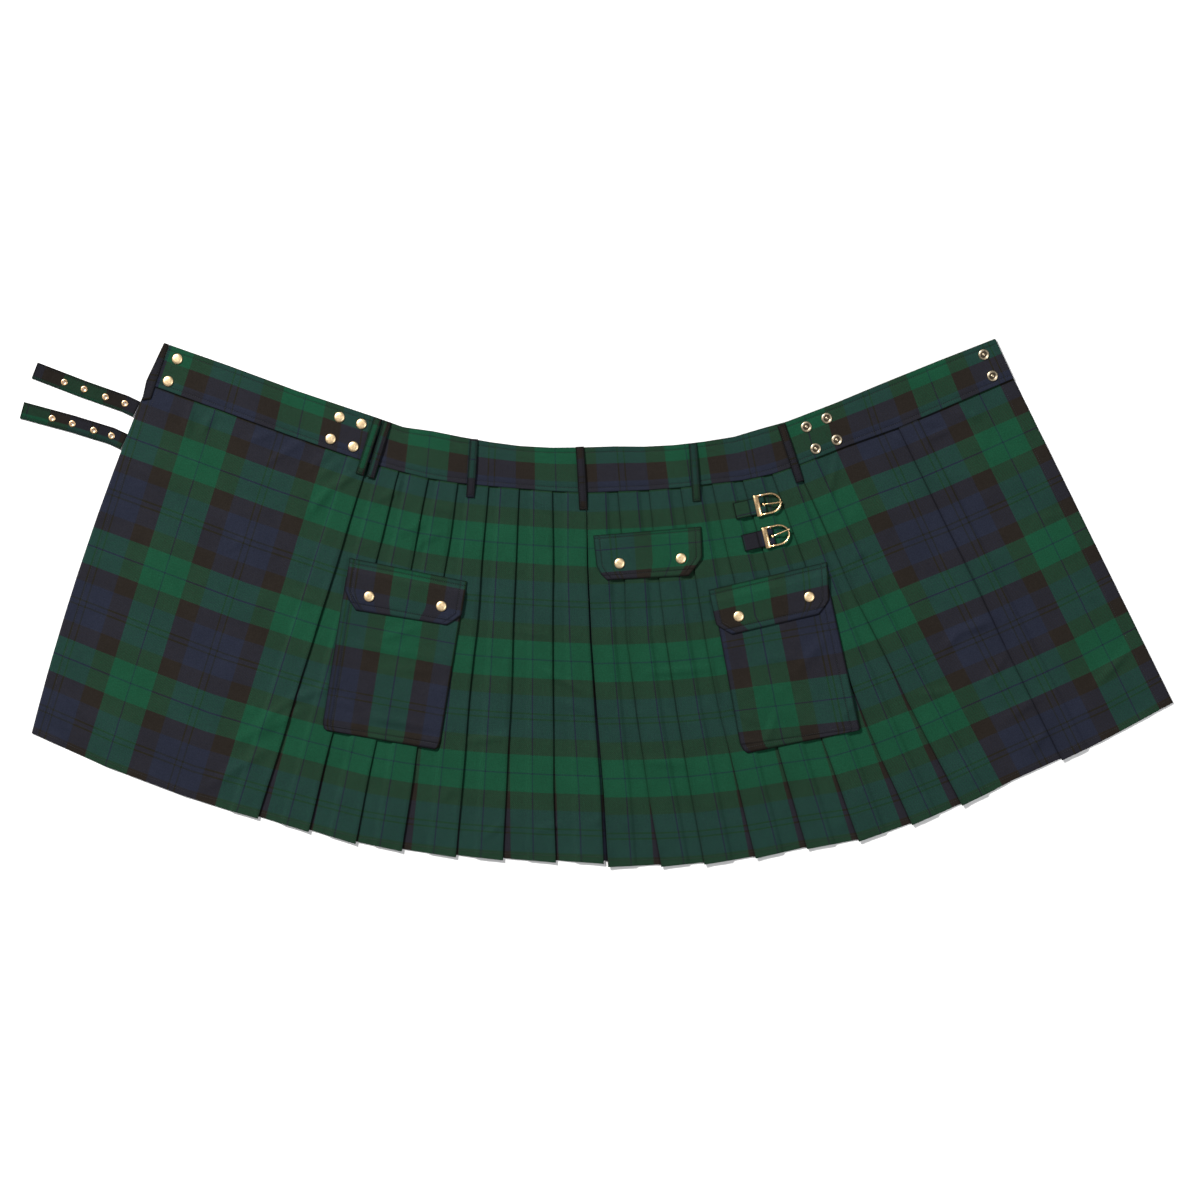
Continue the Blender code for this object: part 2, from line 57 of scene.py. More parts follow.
Point = tuple[float, float]
Row = tuple[float, float, float, float, float]
Colour = tuple[float, float, float]

MM = 0.001
CENTRE_SHIFT = (0.3, -0.1)
CLOTH_MAP = "cloth"
# name of the vertex attribute that holds painted shade
PAINTED_SHADE = "painted_shade"
BODY = "kilt"

# cloth levels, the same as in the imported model
CLOTH = 1.0
LAYER_GAP = 0.3
PITCH = CLOTH + LAYER_GAP
SEAM_GAP = 0.3
STACK = CLOTH * 3 + LAYER_GAP * 2
BAND_THICK = 3.8
LOOP_BASE = BAND_THICK + SEAM_GAP
POCKET_BASE = STACK + SEAM_GAP
POCKET_THICK = 2.2
FLAP_THICK = 1.6
FLAP_RISE = POCKET_THICK + SEAM_GAP
STRAP_THICK = 1.6
SKIRT_LENGTH = 540.0
HOLE_RADIUS = 3.2

# tartan: repeats and the places of the stripes as shares of half a repeat
WARP_REPEAT = 204.3
WEFT_REPEAT = 167.0
BAND_REPEAT = 191.0
WEFT_START = -81.0       # weft place of the waist seam
BAND_WEFT_START = 3.25   # weft place of the band's top edge

# one row per fold or edge line, from the outer edge to the middle:
# (top of band x, y, waist seam x, y, hem x, y, whether the cloth folds under at this line)
LEFT_LINES = (
    (-625.4, 376.6, -657.6, 319.4, -827.7, -192.2, False),
    (-542.1, 347.4, -560.5, 284.3, -720.7, -240.6, False),
    (-438.3, 309.1, -452.4, 244.8, -601.9, -285.3, False),
    (-324.7, 271.0, -334.7, 204.2, -495.2, -314.3, True),
    (-282.5, 256.0, -289.7, 191.9, -421.0, -333.7, True),
    (-239.9, 250.1, -246.3, 181.1, -352.3, -351.3, True),
    (-198.8, 241.8, -203.2, 174.3, -284.7, -362.2, True),
    (-155.8, 234.2, -158.0, 169.9, -205.7, -370.8, True),
    (-112.9, 228.5, -113.2, 166.1, -136.6, -375.4, True),
    (-66.3, 226.0, -64.8, 162.3, -57.5, -378.8, True),
    (-18.1, 226.4, -14.8, 160.2, 10.8, -380.4, True),
)
RIGHT_LINES = (
    (583.8, 385.6, 611.0, 327.5, 844.7, -147.5, False),
    (501.8, 353.6, 526.9, 291.6, 762.9, -192.2, False),
    (419.3, 320.3, 441.9, 255.2, 680.4, -229.3, True),
    (350.3, 291.6, 368.6, 229.4, 609.0, -261.5, False),
    (277.5, 263.8, 293.2, 199.7, 536.6, -294.4, True),
    (242.2, 254.2, 257.1, 187.5, 464.6, -322.7, True),
    (201.7, 242.0, 214.0, 178.3, 386.1, -347.3, True),
    (158.9, 235.0, 169.2, 173.3, 310.4, -358.6, True),
    (114.4, 229.8, 122.9, 167.7, 235.1, -372.1, True),
    (70.1, 227.5, 76.8, 164.0, 160.1, -381.3, True),
    (26.3, 227.9, 31.4, 162.1, 95.9, -384.7, True),
    (-17.9, 226.4, -14.4, 160.2, 16.4, -385.2, True),
)
BAND_LEFT_END = (-646.7, 315.6)

# how far the tartan's green middle lies from each fold, at the waist and at the hem
LEFT_FOLD_WARP = {3: (32.7, 32.7)}
RIGHT_FOLD_WARP = {2: (-128.5, -128.5), 4: (-29.0, -33.0), 5: (-29.0, -31.0)}

# how far each fold bends towards the middle of the kilt, at six even steps from waist to hem
LEFT_SWAY = {9: (0.0, -1.0, -2.0, -3.0, -3.0, -2.0), 10: (0.0, -4.0, -5.0, -3.0, 0.0, 0.0)}
RIGHT_SWAY = {4: (0.0, 4.0, 7.5, 7.0, 5.5, 3.0), 5: (0.0, 4.0, 8.0, 10.0, 9.0, 4.0),
              6: (0.0, 4.0, 7.0, 8.0, 6.0, 3.0), 7: (0.0, 4.0, 7.0, 8.0, 6.0, 3.0),
              8: (0.0, 4.0, 9.0, 10.0, 7.0, 3.0), 9: (0.0, 3.5, 8.5, 9.0, 6.0, 3.0),
              10: (0.0, 4.0, 11.0, 11.5, 7.0, 2.0), 11: (0.0, 4.0, 5.0, 3.0, 0.0, 0.0)}


class Slot(Enum):
    """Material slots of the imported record."""

    TARTAN = "tartan"
    DARK = "dark_tartan"
    GREEN = "green_tartan"
    BRASS = "pale_brass"
    ANTIQUE = "antique_brass"
    COPPER = "coppered_brass"


class Side(Enum):
    """Halves of the skirt, with the sign of the warp's growth towards the outer edge."""

    LEFT = -1.0
    RIGHT = 1.0


# ---------------------------------------------------------------- small helpers


def shifted(x: float, y: float) -> Point:
    """Plan point in the row frame, in millimetres, of a table value."""
    return x + CENTRE_SHIFT[0], y + CENTRE_SHIFT[1]


def smooth(share: np.ndarray | float) -> np.ndarray:
    """Smooth step of a share that is held between 0 and 1."""
    held = np.clip(share, 0.0, 1.0)
    return held * held * (3.0 - 2.0 * held)


def rim_steps(length: float, spacing: float, seams: Sequence[float] = ()) -> np.ndarray:
    """Shares along a length with close steps at both ends and over its sewn lines.

    Args:
        length: Length in millimetres.
        spacing: Widest step in millimetres.
        seams: Places of sewn lines that need close steps.

    Returns:
        Rising shares from 0 to 1.
    """
    rim = (0.0, 0.35, 0.9, 1.8, 3.2)
    close = [*rim, *(length - r for r in rim)]
    close += [seam + step for seam in seams for step in (-1.6, -0.8, 0.0, 0.8, 1.6)]
    close = sorted(mark for mark in close if 0.0 <= mark <= length)
    marks = [close[0]]
    for mark in close[1:]:
        gap = mark - marks[-1]
        if gap < 0.25 and mark < length:
            continue
        cuts = max(1, round(gap / spacing))
        marks += [marks[-1] + gap * k / cuts for k in range(1, cuts)] + [mark]
    return np.array(marks) / length


def along_path(points: Sequence[Point], spacing: float) -> list[tuple[Vector, Vector]]:
    """Even points along a broken line, each with the direction of the line there.

    Args:
        points: Corners in millimetres.
        spacing: Distance between the points.

    Returns:
        Pairs of place and unit direction, in plan.
    """
    corners = [Vector((*p, 0.0)) for p in points]
    lengths = [(b - a).length for a, b in zip(corners, corners[1:])]
    total = sum(lengths)
    count = max(1, int(total / spacing))
    found = []
    for k in range(count):
        rest = (k + 0.5) * total / count
        i = 0
        while i < len(lengths) - 1 and rest > lengths[i]:
            rest -= lengths[i]
            i += 1
        run = (corners[i + 1] - corners[i]).normalized()
        found.append((corners[i] + run * rest, run))
    return found


def inset_path(points: Sequence[Point], inset: float) -> list[Point]:
    """Open path moved sideways to its left by one distance, with its corners kept sharp.

    Args:
        points: Corners in millimetres.
        inset: Distance to move by.

    Returns:
        The moved corners.
    """
    corners = [Vector(p) for p in points]
    runs = [(b - a).normalized() for a, b in zip(corners, corners[1:])]
    sides = [Vector((-run.y, run.x)) * inset for run in runs]
    moved = [corners[0] + sides[0]]
    for k in range(1, len(corners) - 1):
        cross = runs[k - 1].x * runs[k].y - runs[k - 1].y * runs[k].x
        here = corners[k] + (sides[k - 1] + sides[k]) / 2
        if abs(cross) > 0.02:
            gap = (corners[k] + sides[k]) - (corners[k] + sides[k - 1])
            ahead = (gap.x * runs[k].y - gap.y * runs[k].x) / cross
            here = corners[k] + sides[k - 1] + runs[k - 1] * ahead
        moved.append(here)
    moved.append(corners[-1] + sides[-1])
    return [(p.x, p.y) for p in moved]


def object_from(work: bmesh.types.BMesh, name: str, material: bpy.types.Material,
                is_smooth: bool = True) -> bpy.types.Object:
    """Object of a finished bmesh, at the origin, with one material.

    Args:
        work: The bmesh, which is freed.
        name: Name of the piece.
        material: Its finish.
        is_smooth: Whether its faces are shaded smooth.

    Returns:
        The new object, linked to the scene.
    """
    for face in work.faces:
        face.smooth = is_smooth
    mesh = bpy.data.meshes.new(name)
    work.to_mesh(mesh)
    work.free()
    mesh.materials.append(material)
    item = bpy.data.objects.new(name, mesh)
    bpy.context.scene.collection.objects.link(item)
    return item


def settle(item: bpy.types.Object, nodes: Iterable[str] = (), body: str = BODY) -> bpy.types.Object:
    """Rides a piece on its body and hides the solids that it stands for.

    Args:
        item: The finished piece.
        nodes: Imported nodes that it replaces.
        body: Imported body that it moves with.

    Returns:
        The same piece.
    """
    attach(item, body)
    if nodes:
        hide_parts(*nodes)
    return item


def punch(work: bmesh.types.BMesh, holes: Sequence[Point], radius: float) -> None:
    """Round holes through a flat grid, its cut edge moved onto the circle.

    Args:
        work: The bmesh to cut.
        holes: Middles of the holes in millimetres.
        radius: Their radius.
    """
    for hole in holes:
        middle = Vector(hole) * MM
        cut = [face for face in work.faces if (face.calc_center_median().xy - middle).length < radius * MM]
        ring = {vert for face in cut for vert in face.verts}
        bmesh.ops.delete(work, geom=cut, context="FACES")
        for vert in ring:
            if vert.is_valid:
                arm = vert.co.xy - middle
                vert.co.xy = middle + arm.normalized() * radius * MM


def cloth_grid(name: str, places: np.ndarray, threads: np.ndarray, thick: float,
               material: bpy.types.Material, painted_shade: np.ndarray | None = None,
               holes: Sequence[Point] = ()) -> bpy.types.Object:
    """Cloth of even thickness through a grid of places, with its warp and weft as a UV map.

    Args:
        name: Name of the piece.
        places: Middle of the cloth, rows by columns by x, y, z in millimetres.
        threads: Warp and weft places, rows by columns by two, in millimetres.
        thick: Thickness of the cloth in millimetres.
        material: Its finish.
        painted_shade: How dark the painted shade is, from 0 to 1, rows by columns.
        holes: Middles of the holes punched through it.

    Returns:
        The cloth object.
    """
    rows, columns = places.shape[:2]
    work = bmesh.new()
    bmesh.ops.create_grid(work, x_segments=columns - 1, y_segments=rows - 1, size=1.0)
    work.verts.ensure_lookup_table()
    flat = places.reshape(-1, 3) * MM
    for vert, place in zip(work.verts, flat):
        vert.co = place
    if painted_shade is not None:
        # layer that holds painted shade along edges, sewn lines and folds
        pressed = work.verts.layers.float.new(PAINTED_SHADE)
        work.verts.ensure_lookup_table()
        for vert, amount in zip(work.verts, painted_shade.ravel()):
            vert[pressed] = float(amount)
    layer = work.loops.layers.uv.new(CLOTH_MAP)
    pairs = threads.reshape(-1, 2) * MM
    for face in work.faces:
        for loop in face.loops:
            loop[layer].uv = pairs[loop.vert.index]
    if sum(face.normal.z * face.calc_area() for face in work.faces) < 0.0:
        bmesh.ops.reverse_faces(work, faces=work.faces)
    punch(work, holes, HOLE_RADIUS)
    item = object_from(work, name, material)
    wall = item.modifiers.new("cloth wall", "SOLIDIFY")
    wall.thickness = thick * MM
    wall.offset = 0.0
    wall.use_even_offset = True
    return item


# ---------------------------------------------------------------- how the cloth lies


@dataclass(frozen=True)
class Crease:
    """One soft ridge of the laid cloth, from point to point, in millimetres."""

    start: Point
    end: Point
    width: float
    height: float

    def lift(self, x: np.ndarray, y: np.ndarray) -> np.ndarray:
        """Height of the ridge over plan points.

        Args:
            x: Plan places in millimetres.
            y: Plan places in millimetres.

        Returns:
            Heights in millimetres.
        """
        run_x, run_y = self.end[0] - self.start[0], self.end[1] - self.start[1]
        length = math.hypot(run_x, run_y)
        run_x, run_y = run_x / length, run_y / length
        ahead = (x - self.start[0]) * run_x + (y - self.start[1]) * run_y
        aside = (y - self.start[1]) * run_x - (x - self.start[0]) * run_y
        share = np.clip(ahead / length, 0.0, 1.0)
        past = ahead - share * length
        swell = 0.35 + 0.65 * np.sin(math.pi * share)
        return self.height * swell * np.exp(-(aside / self.width) ** 2 - (past / (self.width * 1.6)) ** 2)


@dataclass
class Lie:
    """How the cloth lies on the table: soft ridges, and flat places under the metal pieces."""

    creases: tuple[Crease, ...]
    pressed: tuple[tuple[float, float, float], ...]
    held: tuple[tuple[float, float, float, float, float], ...] = ()
    swell: float = 0.7
    swell_length: float = 95.0
    rumple: float = 0.7
    rumple_length: float = 24.0

    def height(self, x: np.ndarray, y: np.ndarray) -> np.ndarray:
        """Height that the cloth stands off its flat place.

        Args:
            x: Plan places in millimetres.
            y: Plan places in millimetres.

        Returns:
            Heights in millimetres, never below 0.
        """
        shape = x.shape
        x, y = x.ravel(), y.ravel()
        rise = np.array([noise.noise(Vector((a / self.swell_length, b / self.swell_length, 0.7)))
                         for a, b in zip(x, y)])
        rise = self.swell * np.clip(rise + 0.45, 0.0, 1.0)
        if self.rumple:
            fine = np.array([noise.noise(Vector((a / self.rumple_length, b / self.rumple_length, 4.1)))
                             for a, b in zip(x, y)])
            rise = rise + self.rumple * np.clip(fine + 0.4, 0.0, 1.0)
        for crease in self.creases:
            rise = rise + crease.lift(x, y)
        for px, py, reach in self.pressed:
            rise = rise * (1.0 - np.exp(-((x - px) ** 2 + (y - py) ** 2) / reach ** 2))
        return np.clip(rise, 0.0, 6.0).reshape(shape)


    def loose(self, x: np.ndarray, y: np.ndarray) -> np.ndarray:
        """How free the pleats' edges are to stand off, outside the pieces sewn over them.

        Args:
            x: Plan places in millimetres.
            y: Plan places in millimetres.

        Returns:
            Shares from 0 below a sewn piece to 1 away from it.
        """
        share = np.ones_like(x)
        for mid_x, mid_y, half_x, half_y, turn in self.held:
            run_x, run_y = math.cos(math.radians(turn)), math.sin(math.radians(turn))
            along = np.abs((x - mid_x) * run_x + (y - mid_y) * run_y) - half_x
            across = np.abs((y - mid_y) * run_x - (x - mid_x) * run_y) - half_y
            share = share * smooth(np.maximum(along, across) / 12.0)
        return share


# ---------------------------------------------------------------- finishes


class NodeBoard:
    """Adds nodes to one tree and links them."""

    def __init__(self, tree: bpy.types.NodeTree) -> None:
        """Keeps the tree to work on."""
        self.tree = tree

    def add(self, kind: str, **settings: object) -> bpy.types.Node:
        """Node of a kind, with its settings.

        Args:
            kind: Blender's node type.
            settings: Node properties and their values.

        Returns:
            The new node.
        """
        node = self.tree.nodes.new(kind)
        for key, value in settings.items():
            setattr(node, key, value)
        return node

    def plug(self, socket: bpy.types.NodeSocket, value: object) -> None:
        """Links a socket to an input, or sets the input's value."""
        if isinstance(value, bpy.types.NodeSocket):
            self.tree.links.new(value, socket)
        else:
            socket.default_value = value

    def math(self, operation: str, *values: object) -> bpy.types.NodeSocket:
        """Result of one Math node on sockets or numbers."""
        node = self.add("ShaderNodeMath", operation=operation)
        for socket, value in zip(node.inputs, values):
            self.plug(socket, value)
        return node.outputs[0]

    def mix(self, share: object, first: object, second: object) -> bpy.types.NodeSocket:
        """Colour between two colours."""
        node = self.add("ShaderNodeMix", data_type="RGBA")
        self.plug(node.inputs["Factor"], share)
        self.plug(node.inputs["A"], first)
        self.plug(node.inputs["B"], second)
        return node.outputs["Result"]

    def shade(self, colour: object, amount: object) -> bpy.types.NodeSocket:
        """Colour made lighter or darker by an amount."""
        node = self.add("ShaderNodeVectorMath", operation="SCALE")
        self.plug(node.inputs[0], colour)
        self.plug(node.inputs["Scale"], amount)
        return node.outputs[0]

    def place(self, source: object, scale: Colour) -> bpy.types.NodeSocket:
        """Coordinates stretched by a scale."""
        node = self.add("ShaderNodeMapping")
        self.plug(node.inputs["Vector"], source)
        node.inputs["Scale"].default_value = scale
        return node.outputs[0]

    def grain(self, source: object, scale: float, detail: float = 2.0, low: float = 0.0,
              high: float = 1.0) -> bpy.types.NodeSocket:
        """Noise spread over a range.

        Args:
            source: Coordinates.
            scale: Noise scale.
            detail: Octaves.
            low: Value where the noise is low.
            high: Value where the noise is high.

        Returns:
            The value's socket.
        """
        node = self.add("ShaderNodeTexNoise")
        self.plug(node.inputs["Vector"], source)
        node.inputs["Scale"].default_value = scale
        node.inputs["Detail"].default_value = detail
        spread = self.add("ShaderNodeMapRange")
        self.plug(spread.inputs["Value"], node.outputs["Fac"])
        spread.inputs["From Min"].default_value = 0.3
        spread.inputs["From Max"].default_value = 0.7
        spread.inputs["To Min"].default_value = low
        spread.inputs["To Max"].default_value = high
        return spread.outputs["Result"]

    def bands(self, source: object, stops: Sequence[tuple[float, Colour]]) -> bpy.types.NodeSocket:
        """Hard-edged stripes along a value.

        Args:
            source: Value from 0 to 1.
            stops: Start and colour of each stripe.

        Returns:
            The colour's socket.
        """
        node = self.add("ShaderNodeValToRGB")
        ramp = node.color_ramp
        ramp.interpolation = "CONSTANT"
        ramp.elements[0].position = stops[0][0]
        ramp.elements[0].color = (*stops[0][1], 1.0)
        ramp.elements[1].position = stops[1][0]
        ramp.elements[1].color = (*stops[1][1], 1.0)
        for start, colour in stops[2:]:
            ramp.elements.new(start).color = (*colour, 1.0)
        self.plug(node.inputs[0], source)
        return node.outputs["Color"]


@dataclass(frozen=True)
class TartanSett:
    """The tartan's dyed threads and their order: green, black and blue with thin guard lines."""

    green: Colour = (0.0050, 0.0468, 0.0225)
    black: Colour = (0.0130, 0.0098, 0.0075)
    blue: Colour = (0.0118, 0.0142, 0.0262)
    green_line: Colour = (0.006, 0.010, 0.024)
    blue_line: Colour = (0.0085, 0.0085, 0.0030)
    thread: float = 0.7
    twill_share: float = 0.28

    def stops(self, half: float, green: float, black: float, line: float, pair: float,
              pair_line: float) -> list[tuple[float, Colour]]:
        """Stripe starts over half a repeat, as shares of it.

        Args:
            half: Half the repeat in millimetres.
            green: Half width of the green stripe.
            black: Place where the black stripe ends.
            line: Half width of the line in the green stripe.
            pair: Distance of each blue guard line from the blue stripe's middle.
            pair_line: Half width of a guard line.

        Returns:
            Starts and colours.
        """
        return [(0.0, self.green_line), (line / half, self.green), (green / half, self.black),
                (black / half, self.blue), ((half - pair - pair_line) / half, self.blue_line),
                ((half - pair + pair_line) / half, self.blue)]

    def group(self) -> bpy.types.NodeTree:
        """Shader group that weaves the sett from cloth coordinates.

        Returns:
            The group, with the outputs Color and Relief.
        """
        found = bpy.data.node_groups.get("tartan sett")
        if found:
            return found
        tree = bpy.data.node_groups.new("tartan sett", "ShaderNodeTree")
        tree.interface.new_socket("Cloth", in_out="INPUT", socket_type="NodeSocketVector")
        tree.interface.new_socket("Color", in_out="OUTPUT", socket_type="NodeSocketColor")
        tree.interface.new_socket("Relief", in_out="OUTPUT", socket_type="NodeSocketFloat")
        board = NodeBoard(tree)
        start = board.add("NodeGroupInput")
        end = board.add("NodeGroupOutput")
        apart = board.add("ShaderNodeSeparateXYZ")
        board.plug(apart.inputs[0], start.outputs["Cloth"])
        warp, weft = apart.outputs["X"], apart.outputs["Y"]
        half_warp, half_weft = WARP_REPEAT * MM / 2, WEFT_REPEAT * MM / 2
        warp_share = board.math("DIVIDE", board.math("PINGPONG", warp, half_warp), half_warp)
        weft_share = board.math("DIVIDE", board.math("PINGPONG", weft, half_weft), half_weft)
        warp_colour = board.bands(warp_share, self.stops(102.15, 33.0, 63.3, 0.65, 5.2, 0.9))
        weft_colour = board.bands(weft_share, self.stops(83.5, 26.75, 52.25, 0.85, 4.2, 1.1))
        pitch = self.thread * MM
        column = board.math("DIVIDE", warp, pitch)
        line = board.math("DIVIDE", weft, pitch)
        diagonal = board.math("ADD", board.math("FLOOR", column), board.math("FLOOR", line))
        warp_over = board.math("LESS_THAN", board.math("FLOORED_MODULO", diagonal, 4.0), 2.0)
        warp_streak = board.grain(board.place(start.outputs["Cloth"], (1500.0, 60.0, 1.0)), 1.0, 1.0, 0.86, 1.14)
        weft_streak = board.grain(board.place(start.outputs["Cloth"], (60.0, 1500.0, 1.0)), 1.0, 1.0, 0.86, 1.14)
        share = board.math("MULTIPLY_ADD", warp_over, 2.0 * self.twill_share, 0.5 - self.twill_share)
        woven = board.mix(share, board.shade(weft_colour, weft_streak), board.shade(warp_colour, warp_streak))
        fuzz = board.grain(start.outputs["Cloth"], 620.0, 3.0, 0.76, 1.24)
        board.plug(end.inputs["Color"], board.shade(woven, fuzz))
        warp_round = board.math("PINGPONG", column, 0.5)
        weft_round = board.math("PINGPONG", line, 0.5)
        lifted = board.math("ADD", board.math("MULTIPLY", warp_over, warp_round),
                            board.math("MULTIPLY", board.math("SUBTRACT", 1.0, warp_over), weft_round))
        hair = board.grain(start.outputs["Cloth"], 2600.0, 1.0, 0.0, 0.35)
        board.plug(end.inputs["Relief"], board.math("ADD", lifted, hair))
        return tree


@dataclass(frozen=True)
class TartanCloth:
    """Brushed twill in the tartan, matt with a soft nap."""

    name: str = "tartan cloth"
    shade: float = 1.0
    # how far the painted shade darkens the cloth where the attribute is full
    painted_shade: float = 0.82
    sett: TartanSett = field(default_factory=TartanSett)

    def material(self) -> bpy.types.Material:
        """The finish as a Blender material.

        Returns:
            The material, made once.
        """
        found = bpy.data.materials.get("kilt " + self.name)
        if found:
            return found
        made = bpy.data.materials.new("kilt " + self.name)
        made.use_nodes = True
        board = NodeBoard(made.node_tree)
        shader = made.node_tree.nodes["Principled BSDF"]
        where = board.add("ShaderNodeUVMap", uv_map=CLOTH_MAP)
        spot = board.add("ShaderNodeTexCoord")
        sett = board.add("ShaderNodeGroup", node_tree=self.sett.group())
        board.plug(sett.inputs["Cloth"], where.outputs["UV"])
        worn = board.grain(spot.outputs["Object"], 16.0, 3.0, 0.94 * self.shade, 1.06 * self.shade)
        # painted shade: the attribute darkens the base colour along edges, sewn lines and folds
        painted_shade = board.add("ShaderNodeAttribute", attribute_type="GEOMETRY", attribute_name=PAINTED_SHADE)
        depth = board.math("MULTIPLY_ADD", painted_shade.outputs["Fac"], -self.painted_shade, 1.0)
        board.plug(shader.inputs["Base Color"],
                   board.shade(sett.outputs["Color"], board.math("MULTIPLY", worn, depth)))
        board.plug(shader.inputs["Roughness"], board.grain(spot.outputs["Object"], 220.0, 2.0, 0.78, 0.92))
        bump = board.add("ShaderNodeBump")
        bump.inputs["Strength"].default_value = 0.45
        bump.inputs["Distance"].default_value = 0.00022
        board.plug(bump.inputs["Height"], sett.outputs["Relief"])
        board.plug(shader.inputs["Normal"], bump.outputs["Normal"])
        shader.inputs["Specular IOR Level"].default_value = 0.09
        shader.inputs["Sheen Weight"].default_value = 0.025
        shader.inputs["Sheen Roughness"].default_value = 0.45
        shader.inputs["Sheen Tint"].default_value = (0.75, 0.85, 0.85, 1.0)
        return made


@dataclass(frozen=True)
class Thread:
    """Twisted sewing thread."""

    name: str = "dark sewing thread"
    colour: Colour = (0.006, 0.008, 0.010)

    def material(self) -> bpy.types.Material:
        """The finish as a Blender material.

        Returns:
            The material, made once.
        """
        found = bpy.data.materials.get(self.name)
        if found:
            return found
        made = bpy.data.materials.new(self.name)
        made.use_nodes = True
        board = NodeBoard(made.node_tree)
        shader = made.node_tree.nodes["Principled BSDF"]
        spot = board.add("ShaderNodeTexCoord")
        tone = board.grain(spot.outputs["Object"], 90.0, 2.0, 0.75, 1.3)
        board.plug(shader.inputs["Base Color"], board.shade((*self.colour,), tone))
        board.plug(shader.inputs["Roughness"], board.grain(spot.outputs["Object"], 800.0, 1.0, 0.5, 0.7))
        twist = board.add("ShaderNodeTexWave")
        twist.inputs["Scale"].default_value = 900.0
        board.plug(twist.inputs["Vector"], spot.outputs["Object"])
        bump = board.add("ShaderNodeBump")
        bump.inputs["Strength"].default_value = 0.4
        bump.inputs["Distance"].default_value = 0.0001
        board.plug(bump.inputs["Height"], twist.outputs["Fac"])
        board.plug(shader.inputs["Normal"], bump.outputs["Normal"])
        return made


@dataclass(frozen=True)
class BrassFinish:
    """Plated brass with a worn, slightly tarnished surface."""

    name: str
    bright: Colour
    tarnish: Colour
    smooth_low: float
    smooth_high: float
    tarnish_share: float = 0.5

    def material(self) -> bpy.types.Material:
        """The finish as a Blender material.

        Returns:
            The material, made once.
        """
        found = bpy.data.materials.get("kilt " + self.name)
        if found:
            return found
        made = bpy.data.materials.new("kilt " + self.name)
        made.use_nodes = True
        board = NodeBoard(made.node_tree)
        shader = made.node_tree.nodes["Principled BSDF"]
        spot = board.add("ShaderNodeTexCoord")
        stain = board.grain(spot.outputs["Object"], 260.0, 4.0, 0.0, self.tarnish_share)
        board.plug(shader.inputs["Base Color"], board.mix(stain, (*self.bright, 1.0), (*self.tarnish, 1.0)))
        board.plug(shader.inputs["Roughness"],
                   board.grain(spot.outputs["Object"], 420.0, 3.0, self.smooth_low, self.smooth_high))
        shader.inputs["Metallic"].default_value = 1.0
        bump = board.add("ShaderNodeBump")
        bump.inputs["Strength"].default_value = 0.2
        bump.inputs["Distance"].default_value = 0.00008
        board.plug(bump.inputs["Height"], board.grain(spot.outputs["Object"], 900.0, 3.0))
        board.plug(shader.inputs["Normal"], bump.outputs["Normal"])
        return made


TARTAN = TartanCloth()
DARK_TARTAN = TartanCloth("dark tartan cloth", 0.85)
GREEN_TARTAN = TartanCloth("green tartan cloth", 1.0)
BRASS = BrassFinish("pale brass", (1.0, 0.78, 0.48), (0.80, 0.52, 0.24), 0.36, 0.52, 0.4)
ANTIQUE = BrassFinish("antique brass", (0.60, 0.50, 0.35), (0.14, 0.11, 0.075), 0.30, 0.46)
BUCKLE_BRASS = BrassFinish("buckle brass", (1.0, 0.72, 0.40), (0.80, 0.46, 0.20), 0.24, 0.32, 0.3)
DARK_BRASS = BrassFinish("dark tarnish", (0.10, 0.075, 0.05), (0.03, 0.024, 0.018), 0.40, 0.60)
STRAP_TARTAN = TartanCloth("strap tartan cloth", 0.72)
COPPER = BrassFinish("coppered brass", (0.88, 0.60, 0.34), (0.42, 0.25, 0.12), 0.28, 0.44)


# ---------------------------------------------------------------- skirt


